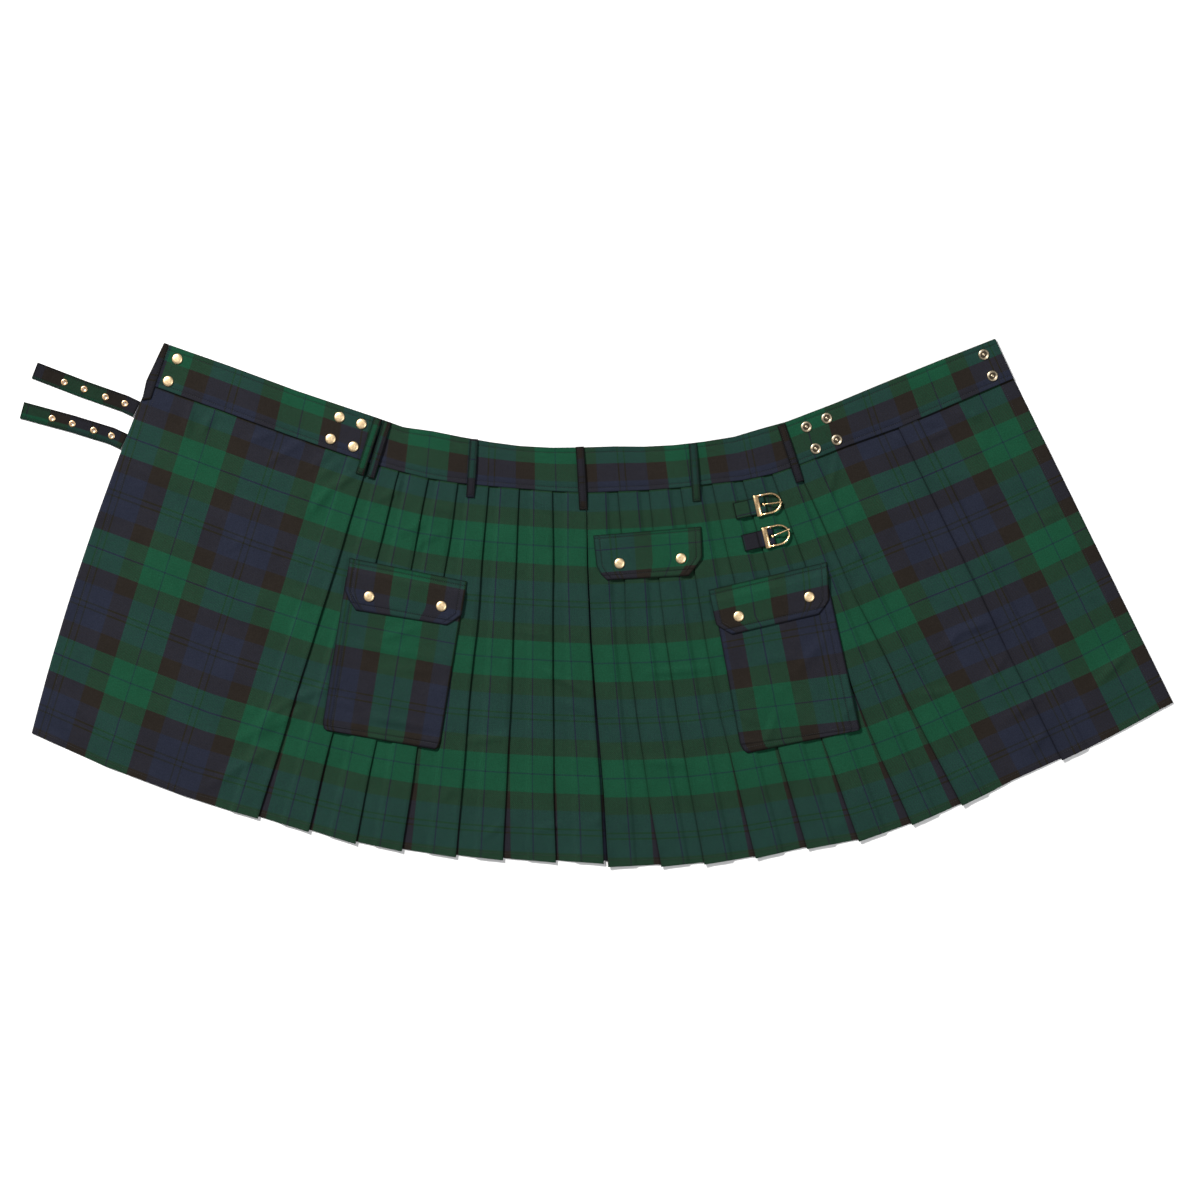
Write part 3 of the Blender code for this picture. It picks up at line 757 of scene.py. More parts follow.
@dataclass
class SkirtHalf:
    """One half of the skirt: a flat apron and knife pleats, folded from one sheet."""

    side: Side
    lines: tuple[tuple, ...]
    fold_warp: dict[int, tuple[float, float]]
    usual_warp: tuple[float, float]
    sway: dict[int, tuple[float, ...]]
    bow: float
    tail: float
    depth_waist: float = 27.0
    depth_hem: float = 38.0
    ramp: float = 6.0
    return_fold: float = 3.2
    fold_reach: float = CLOTH / 2 + PITCH / 2
    hem_drop: float = 3.2
    hem_tuck: float = 1.2
    spacing: float = 3.7
    hidden_spacing: float = 11.0
    row_spacing: float = 4.9
    edge_wobble: float = 1.3
    edge_lift: float = 1.1       # how far a fold's edge stands off
    edge_reach: float = 13.0     # how far the stand-off reaches in from the edge
    seam_tuck: float = 1.0       # how far the top runs into the band's foot

    @property
    def name(self) -> str:
        """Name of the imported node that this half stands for."""
        return "skirt_" + self.side.name.lower()

    def plan(self, down: float) -> list[Point]:
        """Plan points of all lines at a fraction of the way down.

        Args:
            down: 0 at the waist seam, 1 at the hem.

        Returns:
            Points in millimetres.
        """
        return [tuple(point) for point in self.bent(np.array([down]))[0]]

    def bent(self, downs: np.ndarray) -> np.ndarray:
        """Plan points of all lines, bent as the folds lie.

        Args:
            downs: Fractions of the way down.

        Returns:
            Points by lines by x and y, in millimetres.
        """
        waist = np.array([line[2:4] for line in self.lines])
        hem = np.array([line[4:6] for line in self.lines])
        here = waist + (hem - waist) * downs[:, None, None]
        here[:, 0, 0] += self.bow * 4.0 * downs * (1.0 - downs)
        steps = np.linspace(0.0, 1.0, 6)
        for k, bends in self.sway.items():
            run = here[:, k] - here[:, k - 1]
            run /= np.linalg.norm(run, axis=1)[:, None]
            here[:, k] += run * np.interp(downs, steps, bends)[:, None]
        return here

    def warp_at(self, k: int, down: float) -> float:
        """Warp place of a fold at a fraction down."""
        waist, hem = self.fold_warp.get(k, self.usual_warp)
        return waist + (hem - waist) * down

    def wobble(self, k: int, down: float) -> float:
        """Sideways wander of a fold's edge at a fraction down."""
        if k == len(self.lines) - 1:
            return 0.0
        wave = noise.noise(Vector((k * 7.3, down * 4.2, self.side.value)))
        return self.edge_wobble * 2.0 * wave * math.sin(math.pi * min(1.0, max(0.0, down))) ** 0.5

    def controls(self, down: float) -> list[tuple[float, float, float, float]]:
        """Corners of the folded profile at a fraction down.

        Args:
            down: 0 at the waist seam, 1 at the hem.

        Returns:
            Distance from the outer edge, height, warp place and hem drop of each corner.
        """
        plan = self.plan(down)
        distances = [0.0]
        for a, b in zip(plan, plan[1:]):
            distances.append(distances[-1] + math.hypot(b[0] - a[0], b[1] - a[1]))
        low, mid, top = CLOTH / 2, CLOTH / 2 + PITCH, CLOTH / 2 + 2 * PITCH
        depth = self.depth_waist + (self.depth_hem - self.depth_waist) * down
        sign = self.side.value
        folds = [k for k, line in enumerate(self.lines) if line[6]]
        shift = 0.0
        found = [(0.0, low, self.warp_at(folds[0], down) + sign * distances[folds[0]], 0.0)]
        last = 0.0
        for k, distance in enumerate(distances):
            owner = next((f for f in folds if f >= k), folds[-1])
            if k in folds:
                warp = self.warp_at(k, down) + shift
                under = distance - depth
                sway = self.wobble(k, down)
                width = distance - last
                drop = self.hem_drop
                found.append((under - self.ramp, low, warp + sign * (depth + self.ramp), drop * (1 - depth / width)))
                for share in (0.3, 0.7):
                    climb = float(smooth(share))
                    found.append((under - self.ramp * (1 - share), low + (top - low) * climb,
                                  warp + sign * (depth + self.ramp * (1 - share)), drop * (1 - depth / width)))
                found.append((under, top, warp + sign * depth, drop * (1 - depth / width)))
                radius = PITCH / 2
                centre = distance - self.fold_reach + sway
                for turn in (90, 60, 30, 0, -30, -60, -90):
                    a = math.radians(turn)
                    run = radius * math.radians(90 - turn)
                    fall = drop if turn >= 0 else drop - (drop + self.hem_tuck) * (-turn / 90)
                    found.append((centre + radius * math.cos(a), (top + mid) / 2 + radius * math.sin(a),
                                  warp + sign * (self.fold_reach - run), fall))
                after = folds[folds.index(k) + 1] if k != folds[-1] else None
                if after is None:
                    next_edge = warp - sign * 2 * depth
                else:
                    next_edge = self.warp_at(after, down) + shift + sign * (distances[after] - distance)
                hidden = next_edge + sign * (depth - self.return_fold)
                while sign * (warp - hidden) < 8.0:
                    hidden -= sign * WARP_REPEAT
                    next_edge -= sign * WARP_REPEAT
                    shift -= sign * WARP_REPEAT if after is not None else 0.0
                centre = under + self.return_fold
                for turn in (-90, -60, -30, 0, 30, 60, 90):
                    a = math.radians(turn)
                    run = radius * math.radians(90 - turn)
                    found.append((centre - radius * math.cos(a), (mid + low) / 2 - radius * math.sin(a),
                                  hidden + sign * run, -self.hem_tuck))
                if k != len(distances) - 1:
                    found.append((distance - 2.0, low, next_edge + sign * 2.0, -self.hem_tuck))
                    found.append((distance, low, next_edge, 0.0))
                    found.append((distance + 1.8, low, next_edge - sign * 1.8, 0.0))
                last = distance
            elif 0 < k < len(distances) - 1:
                warp = self.warp_at(owner, down) + shift + sign * (distances[owner] - distance)
                found.append((distance, low, warp, 0.0))
        tail = distances[-1] + self.tail * down
        found.append((tail, low, found[-1][2] - sign * (tail - found[-1][0]), -self.hem_tuck))
        return found

    def spread(self, distance: np.ndarray, down: np.ndarray) -> tuple[np.ndarray, np.ndarray]:
        """Plan places of distances from the outer edge at one fraction down.

        Args:
            distance: Distances in millimetres.
            down: Fraction down of each point, close to one value.

        Returns:
            x and y in millimetres.
        """
        base = float(np.mean(down))
        plan = self.plan(base)
        marks = [0.0]
        for a, b in zip(plan, plan[1:]):
            marks.append(marks[-1] + math.hypot(b[0] - a[0], b[1] - a[1]))
        k = np.clip(np.searchsorted(marks, distance, side="left") - 1, 0, len(marks) - 2)
        marks = np.array(marks)
        share = (distance - marks[k]) / (marks[k + 1] - marks[k])
        here = self.bent(down)
        index = np.arange(len(distance))
        place = here[index, k] + (here[index, k + 1] - here[index, k]) * share[:, None]
        return place[:, 0], place[:, 1]

    def sewing(self, hem_inset: float, edge_inset: float) -> list[list[Point]]:
        """Rows of stitches above the hem and inside the outer edge.

        Args:
            hem_inset: Distance of the hem's row from the hem.
            edge_inset: Distance of the edge's row from the outer edge.

        Returns:
            Broken lines in millimetres.
        """
        hem = self.plan(1.0 - hem_inset / SKIRT_LENGTH)
        edge = []
        for k in range(25):
            down = 0.004 + k * 0.041
            first, second = (Vector(p) for p in self.plan(down)[:2])
            edge.append(tuple(first + (second - first).normalized() * edge_inset))
        return [[shifted(*p) for p in row] for row in (hem, edge)]

    def build(self, lie: Lie) -> bpy.types.Object:
        """The folded cloth.

        Args:
            lie: How the cloth lies.

        Returns:
            The skirt half.
        """
        middle = self.controls(0.5)
        steps = []
        for a, b in zip(middle, middle[1:]):
            gap = math.hypot(b[0] - a[0], b[1] - a[1])
            is_hidden = a[3] == b[3] == -self.hem_tuck
            steps.append(max(1, round(gap / (self.hidden_spacing if is_hidden else self.spacing))))
        start = -self.seam_tuck / SKIRT_LENGTH
        downs = start + (1.0 - start) * rim_steps(SKIRT_LENGTH, self.row_spacing)
        edges = [k for k, line in enumerate(self.lines) if line[6]]
        places, threads, painted_shades = [], [], []
        for down in downs:
            corners = np.array(self.controls(float(down)))
            row = []
            for a, b, count in zip(corners, corners[1:], steps):
                for j in range(count):
                    row.append(a + (b - a) * j / count)
            row.append(corners[-1])
            row = np.array(row)
            reach = np.full(len(row), down) + row[:, 3] / SKIRT_LENGTH * smooth((down - 0.4) / 0.6)
            x, y = self.spread(row[:, 0], reach)
            x, y = x + CENTRE_SHIFT[0], y + CENTRE_SHIFT[1]
            plan = np.array(self.plan(down))
            marks = np.concatenate([[0.0], np.cumsum(np.linalg.norm(np.diff(plan, axis=0), axis=1))])
            off, painted_shade = np.zeros(len(row)), np.zeros(len(row))
            for k in edges:
                beyond = row[:, 0] - marks[k]
                # painted shade on the lower panel at the foot of each fold and on the fold's turn
                foot = 0.65 * (1.0 - smooth(np.abs(beyond) / 2.4)) * (row[:, 1] < CLOTH)
                turn = 0.6 * smooth((STACK - row[:, 1]) / PITCH) * (np.abs(beyond) < 4.0) * (row[:, 1] > CLOTH)
                painted_shade = np.maximum(painted_shade, np.maximum(foot, turn))
                share = 0.75 + 0.9 * noise.noise(Vector((k * 3.1, down * 3.4, 9.0 + self.side.value)))
                near = smooth((row[:, 0] - marks[k] + self.edge_reach) / self.edge_reach)
                near = near * (row[:, 0] < marks[k] + 3.0) * (row[:, 1] > CLOTH)
                off += self.edge_lift * np.clip(share, 0.2, 1.2) * near
            off *= smooth(down / 0.25) * lie.loose(x, y)
            flatten = 1.0 - 0.4 * math.exp(-(((down - start) * SKIRT_LENGTH) / 2.5) ** 2)
            z = CLOTH / 2 + (row[:, 1] - CLOTH / 2) * flatten + off + lie.height(x, y)
            # painted shade along the waist seam, under the band's edge
            seam = 0.45 * math.exp(-((down * SKIRT_LENGTH) / 1.6) ** 2)
            places.append(np.stack([x, y, z], axis=1))
            threads.append(np.stack([row[:, 2], reach * SKIRT_LENGTH + WEFT_START], axis=1))
            painted_shades.append(np.maximum(painted_shade, seam))
        item = cloth_grid("tartan_" + self.name, np.array(places), np.array(threads), CLOTH, TARTAN.material(),
                          np.array(painted_shades))
        settle(item, [self.name])
        area = sum(face.area for face in item.data.polygons)
        log.info("%s: %d faces, %.3f square metres of cloth", item.name, len(item.data.polygons), area)
        return item


# ---------------------------------------------------------------- waistband and its end


@dataclass
class Waistband:
    """Band of several plies over both halves of the skirt."""

    thick: float = BAND_THICK
    depth: float = 64.0
    spacing: float = 6.0
    sewn: Point = (7.5, 58.0)      # sewn lines below the top edge
    end_sewn: Point = (12.5, 7.0)  # sewn lines in from the left and the right end
    green_middles: tuple[float, ...] = (5.0, 217.0, 411.0, 599.0, 793.0, 977.0, 1172.0, 1363.0)

    def stations(self) -> tuple[np.ndarray, np.ndarray]:
        """Top edge and waist seam from the left end to the right end.

        Returns:
            Two arrays of plan points in millimetres.
        """
        left = [line[:4] for line in LEFT_LINES]
        left[0] = (*LEFT_LINES[0][:2], *BAND_LEFT_END)
        both = np.array(left + [line[:4] for line in RIGHT_LINES[-2::-1]])
        both = both + np.array(CENTRE_SHIFT * 2)
        return both[:, :2], both[:, 2:]

    def lines(self, count: int = 0) -> tuple[np.ndarray, np.ndarray, np.ndarray]:
        """The band's two edges at even steps.

        Args:
            count: Number of steps, or 0 for the usual spacing.

        Returns:
            Top edge, seam edge and distance along the band of each step.
        """
        top, seam = self.stations()
        middle = (top + seam) / 2
        marks = np.concatenate([[0.0], np.cumsum(np.linalg.norm(np.diff(middle, axis=0), axis=1))])
        shares = rim_steps(marks[-1], self.spacing) if not count else np.linspace(0.0, 1.0, count)
        here = shares * marks[-1]
        edges = [np.stack([np.interp(here, marks, edge[:, j]) for j in (0, 1)], axis=1) for edge in (top, seam)]
        return edges[0], edges[1], here

    def build(self, lie: Lie) -> bpy.types.Object:
        """The band's cloth.

        Args:
            lie: How the cloth lies.

        Returns:
            The band.
        """
        top, seam, along = self.lines()
        shares = rim_steps(self.depth, 5.0, self.sewn)
        warp = np.interp(along, self.green_middles, np.arange(len(self.green_middles)) * WARP_REPEAT)
        places, threads, painted_shades = [], [], []
        for share in shares:
            flat = top + (seam - top) * share
            deep = share * self.depth
            z = np.full(len(flat), self.thick / 2) + 0.6 * lie.height(flat[:, 0], flat[:, 1])
            pucker = np.array([noise.noise(Vector((a / 9.0, deep / 16.0, 3.1))) for a in along])
            near = sum(math.exp(-((deep - sewn) / 5.0) ** 2) for sewn in self.sewn)
            z = z - sum(0.6 * math.exp(-((deep - sewn) / 0.9) ** 2) for sewn in self.sewn) + 0.35 * near * pucker
            places.append(np.column_stack([flat, z]))
            threads.append(np.column_stack([warp, np.full(len(flat), BAND_WEFT_START + deep)]))
            # painted shade along the sewn lines, the long edges and the ends
            line = max(math.exp(-((deep - sewn) / 0.9) ** 2) for sewn in self.sewn)
            rim = math.exp(-(min(deep, self.depth - deep) / 0.8) ** 2)
            ends = np.exp(-(np.minimum(along, along[-1] - along) / 0.8) ** 2)
            painted_shades.append(np.maximum(max(0.7 * line, 0.7 * rim), 0.7 * ends))
        item = cloth_grid("tartan_waistband", np.array(places), np.array(threads), self.thick, TARTAN.material(),
                          np.array(painted_shades))
        bevel = item.modifiers.new("turned edges", "BEVEL")
        bevel.limit_method = "ANGLE"
        bevel.angle_limit = math.radians(60)
        bevel.width = 1.1 * MM
        bevel.segments = 3
        settle(item, ["waistband"])
        area = sum(face.area for face in item.data.polygons)
        log.info("%s: %.3f square metres", item.name, area)
        return item

    def sewing(self) -> list[list[Point]]:
        """Rows of stitches along the band and down its ends.

        Returns:
            Broken lines in millimetres.
        """
        top, seam, along = self.lines(160)
        rows = [[tuple(p) for p in top + (seam - top) * (deep / self.depth)] for deep in self.sewn]
        for k, inset in ((0, self.end_sewn[0]), (-1, -self.end_sewn[1])):
            here = along[k] + inset
            ends = [[float(np.interp(here, along, edge[:, j])) for j in (0, 1)] for edge in (top, seam)]
            high, low = Vector(ends[0]), Vector(ends[1])
            rows.append([tuple(high.lerp(low, deep / self.depth)) for deep in self.sewn])
        return rows


# ---------------------------------------------------------------- flat cut pieces


@dataclass
class CutPiece:
    """Flat sewn piece between rows of left and right points, with its edges pressed down."""

    name: str
    node: str
    rows: tuple[Row, ...]
    base: float
    thick: float
    finish: TartanCloth
    slot: Slot
    warp_of: Callable[[np.ndarray, np.ndarray], tuple[np.ndarray, np.ndarray]]
    rise: float = 0.0
    edge: float = 2.0
    spacing: float = 4.0
    arch: float = 0.0
    wall: float = CLOTH
    sewn_side: float = 0.0       # sewn line in from the sides
    sewn_end: float = 0.0        # sewn line up from the lower end
    sewn_top: float = 0.0        # sewn line down from the top
    is_sewn_left: bool = True
    is_sewn_right: bool = True
    pucker: float = 0.25
    creases: tuple[Crease, ...] = ()
    holes: tuple[Point, ...] = ()
    stand: Point = (0.0, 0.0)    # how far the left and the right side stand off
    groove: float = 0.55
    rests_on: str = "tartan_skirt_left"

    def outline(self) -> list[Point]:
        """Outline from the top left down, along the lower end and up the right side.

        Returns:
            Corners in millimetres.
        """
        left = [shifted(*row[:2]) for row in self.rows]
        right = [shifted(*row[2:4]) for row in self.rows]
        return left + right[::-1]

    def sewing(self) -> list[list[Point]]:
        """Rows of stitches on the piece.

        Returns:
            Broken lines in millimetres.
        """
        rows = []
        count = len(self.rows)
        if self.sewn_side:
            inner = inset_path(self.outline(), self.sewn_side)
            if self.is_sewn_left and self.is_sewn_right and self.sewn_end:
                rows.append(inner)
            else:
                if self.is_sewn_left:
                    rows.append(inner[:count])
                if self.is_sewn_right:
                    rows.append(inner[count:])
        if self.sewn_end and not (self.is_sewn_left and self.is_sewn_right and self.sewn_side):
            rows.append(inset_path(self.outline()[count - 1:count + 1], self.sewn_end))
        if self.sewn_top:
            first, second = (Vector(shifted(*p)) for p in (self.rows[0][:2], self.rows[0][2:4]))
            drop = Vector((second - first).normalized().yx) * self.sewn_top
            drop = Vector((drop.x, -drop.y))
            run = (second - first).normalized()
            rows.append([tuple(first + drop + run * 2.0), tuple(second + drop - run * 2.0)])
        return rows

    def build(self, lie: Lie) -> bpy.types.Object:
        """The piece's cloth.

        Args:
            lie: How the cloth lies.

        Returns:
            The piece.
        """
        rows = np.array(self.rows)
        rows[:, [0, 2]] += CENTRE_SHIFT[0]
        rows[:, [1, 3]] += CENTRE_SHIFT[1]
        middle = (rows[:, :2] + rows[:, 2:4]) / 2
        left_marks = np.concatenate([[0.0], np.cumsum(np.linalg.norm(np.diff(middle, axis=0), axis=1))])
        length = left_marks[-1]
        width = float(np.linalg.norm(rows[0, 2:4] - rows[0, :2]))
        seams = [mark for mark in (self.sewn_top, length - self.sewn_end) if 0.0 < mark < length]
        downs = rim_steps(length, self.spacing, seams) * length
        sides = [self.sewn_side, width - self.sewn_side] if self.sewn_side else []
        across = rim_steps(width, self.spacing, sides)
        here = np.stack([np.interp(downs, left_marks, rows[:, j]) for j in range(5)], axis=1)
        left, right, climb = here[:, None, 0:2], here[:, None, 2:4], here[:, 4]
        flat = left + (right - left) * across[None, :, None]
        widths = np.linalg.norm(here[:, 2:4] - here[:, 0:2], axis=1)
        to_side = np.minimum(across[None, :], 1.0 - across[None, :]) * widths[:, None]
        to_end = np.minimum(downs, length - downs)[:, None]
        inward = np.minimum(to_side, to_end)
        swell = smooth(inward / self.edge)
        height = self.base + self.wall / 2 + (self.thick - self.wall) * swell + self.rise * smooth(climb)[:, None]
        height = height + self.arch * np.sin(math.pi * downs / length)[:, None]
        groove = np.zeros_like(height)
        if self.sewn_side and self.is_sewn_left:
            groove = np.maximum(groove, np.exp(-((across[None, :] * widths[:, None] - self.sewn_side) / 0.9) ** 2))
        if self.sewn_side and self.is_sewn_right:
            groove = np.maximum(groove, np.exp(-(((1 - across[None, :]) * widths[:, None] - self.sewn_side) / 0.9) ** 2))
        if self.sewn_end:
            groove = np.maximum(groove, np.exp(-((length - downs[:, None] - self.sewn_end) / 0.9) ** 2))
        if self.sewn_top:
            groove = np.maximum(groove, np.exp(-((downs[:, None] - self.sewn_top) / 0.9) ** 2))
        height = height - self.groove * groove
        from_left, from_right = across[None, :] * widths[:, None], (1.0 - across[None, :]) * widths[:, None]
        body = np.sin(math.pi * np.clip(downs / length, 0.0, 1.0))[:, None] ** 0.4
        for side, stand in ((from_left, self.stand[0]), (from_right, self.stand[1])):
            height = height + stand * body * np.exp(-(side / 16.0) ** 2)
        ripple = np.array([noise.noise(Vector((a / 13.0, b / 13.0, 5.7))) for a, b in flat.reshape(-1, 2)])
        near = np.exp(-(inward / 14.0) ** 2)
        height = height + self.pucker * near * swell * ripple.reshape(height.shape)
        for crease in self.creases:
            height = height + crease.lift(flat[:, :, 0], flat[:, :, 1])
        height = height + lie.height(flat[:, :, 0], flat[:, :, 1])
        warp, weft = self.warp_of(np.broadcast_to(across[None, :] * width, to_side.shape),
                                  np.broadcast_to(downs[:, None], to_side.shape))
        # painted shade along the edges and in the sewn grooves
        painted_shade = np.maximum(0.95 * np.exp(-(inward / 1.9) ** 2), 0.7 * groove)
        item = cloth_grid(self.name, np.dstack([flat, height]), np.dstack([warp, weft]), self.wall,
                          self.finish.material(), painted_shade, [shifted(*hole) for hole in self.holes])
        settle(item, [self.node])
        area = sum(face.area for face in item.data.polygons)
        log.info("%s: %.4f square metres", item.name, area)
        return item


def ribbon_rows(path: Sequence[Point], width: float) -> tuple[Row, ...]:
    """Rows of left and right points along a path in plan.

    Args:
        path: Centre line in millimetres.
        width: Width of the ribbon.

    Returns:
        Rows for a cut piece.
    """
    rows = []
    for k, here in enumerate(path):
        before, after = path[max(k - 1, 0)], path[min(k + 1, len(path) - 1)]
        run = Vector((after[0] - before[0], after[1] - before[1])).normalized()
        side = Vector((-run.y, run.x)) * (width / 2)
        rows.append((here[0] - side.x, here[1] - side.y, here[0] + side.x, here[1] + side.y, 0.0))
    return tuple(rows)


def straight_cut(warp: float, weft: float, scale: float = 1.0) -> Callable:
    """Piece cut with its rows along the weft.

    Args:
        warp: Warp place of its left edge.
        weft: Weft place of its top edge.
        scale: Stretch of the tartan on it.

    Returns:
        Function from distances across and down to warp and weft.
    """
    return lambda across, down: (warp + across * scale, weft + down * scale)


def turned_cut(weft: float, warp: float) -> Callable:
    """Piece cut with its rows along the warp, as the pockets are.

    Args:
        weft: Weft place of its left edge.
        warp: Warp place of its top edge.

    Returns:
        Function from distances across and down to warp and weft.
    """
    return lambda across, down: (warp + down, weft + across)


# ---------------------------------------------------------------- metal pieces


def turned_mesh(profile: Sequence[Point], steps: int, is_closed: bool = False) -> bmesh.types.BMesh:
    """Round piece turned about Z from a profile.

    Args:
        profile: Radius and height in millimetres, from the top down the outer side.
        steps: Steps round the turn.
        is_closed: Whether the profile closes on itself.

    Returns:
        The bmesh.
    """
    work = bmesh.new()
    dots = [work.verts.new((radius * MM, 0.0, height * MM)) for radius, height in profile]
    edges = [work.edges.new(pair) for pair in zip(dots, dots[1:])]
    if is_closed:
        edges.append(work.edges.new((dots[-1], dots[0])))
    bmesh.ops.spin(work, geom=dots + edges, cent=(0.0, 0.0, 0.0), axis=(0.0, 0.0, 1.0),
                   angle=2.0 * math.pi, steps=steps, use_merge=True)
    bmesh.ops.remove_doubles(work, verts=work.verts, dist=1e-6)
    bmesh.ops.recalc_face_normals(work, faces=work.faces)
    return work


def sweep(work: bmesh.types.BMesh, path: Sequence[Vector], radii: Sequence[float], sides: int) -> None:
    """Round rod along a path, its ring extruded from point to point.

    Args:
        work: The bmesh to add to.
        path: Points in millimetres.
        radii: Radius at each point.
        sides: Sides of the ring.
    """
    points = [Vector(p) for p in path]
    runs = []
    for k in range(len(points)):
        before, after = points[max(k - 1, 0)], points[min(k + 1, len(points) - 1)]
        runs.append((after - before).normalized())
    turn = Vector((0.0, 0.0, 1.0)).rotation_difference(runs[0]).to_matrix().to_4x4()
    ring = bmesh.ops.create_circle(work, cap_ends=False, segments=sides, radius=radii[0] * MM,
                                   matrix=Matrix.Translation(points[0] * MM) @ turn)["verts"]
    edges = list({edge for vert in ring for edge in vert.link_edges})
    first = edges
    for k in range(1, len(points)):
        made = bmesh.ops.extrude_edge_only(work, edges=edges)["geom"]
        fresh = [part for part in made if isinstance(part, bmesh.types.BMVert)]
        edges = [part for part in made if isinstance(part, bmesh.types.BMEdge) and part.is_boundary]
        bend = runs[k - 1].rotation_difference(runs[k])
        for vert in fresh:
            arm = bend @ (vert.co - points[k - 1] * MM)
            vert.co = points[k] * MM + arm * (radii[k] / radii[k - 1])
    for loop in (first, edges):
        bmesh.ops.edgeloop_fill(work, edges=loop)


@dataclass
class Snap:
    """Round snap part that stands on the cloth: a domed cap or a socketed stud."""

    name: str
    node: str
    place: Point
    base: float
    profile: tuple[Point, ...]
    finish: BrassFinish
    slot: Slot
    ring: Point                  # inner and outer radius of its second finish
    ring_finish: BrassFinish
    steps: int = 40

    def build(self) -> bpy.types.Object:
        """The snap's metal.

        Returns:
            The snap.
        """
        work = turned_mesh(self.profile, self.steps)
        x, y = shifted(*self.place)
        bmesh.ops.translate(work, verts=work.verts, vec=Vector((x, y, self.base)) * MM)
        item = settle(object_from(work, self.name, self.finish.material()), [self.node])
        item.data.materials.append(self.ring_finish.material())
        for face in item.data.polygons:
            reach = math.hypot(face.center.x / MM - x, face.center.y / MM - y)
            if self.ring[0] < reach < self.ring[1]:
                face.material_index = 1
        log.info("%s", item.name)
        return item


@dataclass
class Eyelet:
    """Rolled metal ring through a strap."""

    node: str
    place: Point
    base: float = STRAP_THICK + SEAM_GAP
    outer: float = 5.0
    bore: float = 2.25
    barrel: float = 2.9
    flange: float = 0.8

    def build(self) -> bpy.types.Object:
        """The eyelet's metal.

        Returns:
            The eyelet.
        """
        top = self.base + self.flange
        profile = [(self.bore + 0.05, top - 0.35), (self.bore + 0.35, top - 0.08), (self.bore + 0.9, top),
                   (3.9, top - 0.05), (4.6, top - 0.28), (self.outer, self.base + 0.15), (4.7, self.base),
                   (self.barrel, self.base), (self.barrel, 0.1), (self.bore, 0.1)]
        work = turned_mesh(profile, 28, is_closed=True)
        x, y = shifted(*self.place)
        bmesh.ops.translate(work, verts=work.verts, vec=Vector((x, y, 0.0)) * MM)
        item = settle(object_from(work, "ring_" + self.node, COPPER.material()), [self.node])
        return item


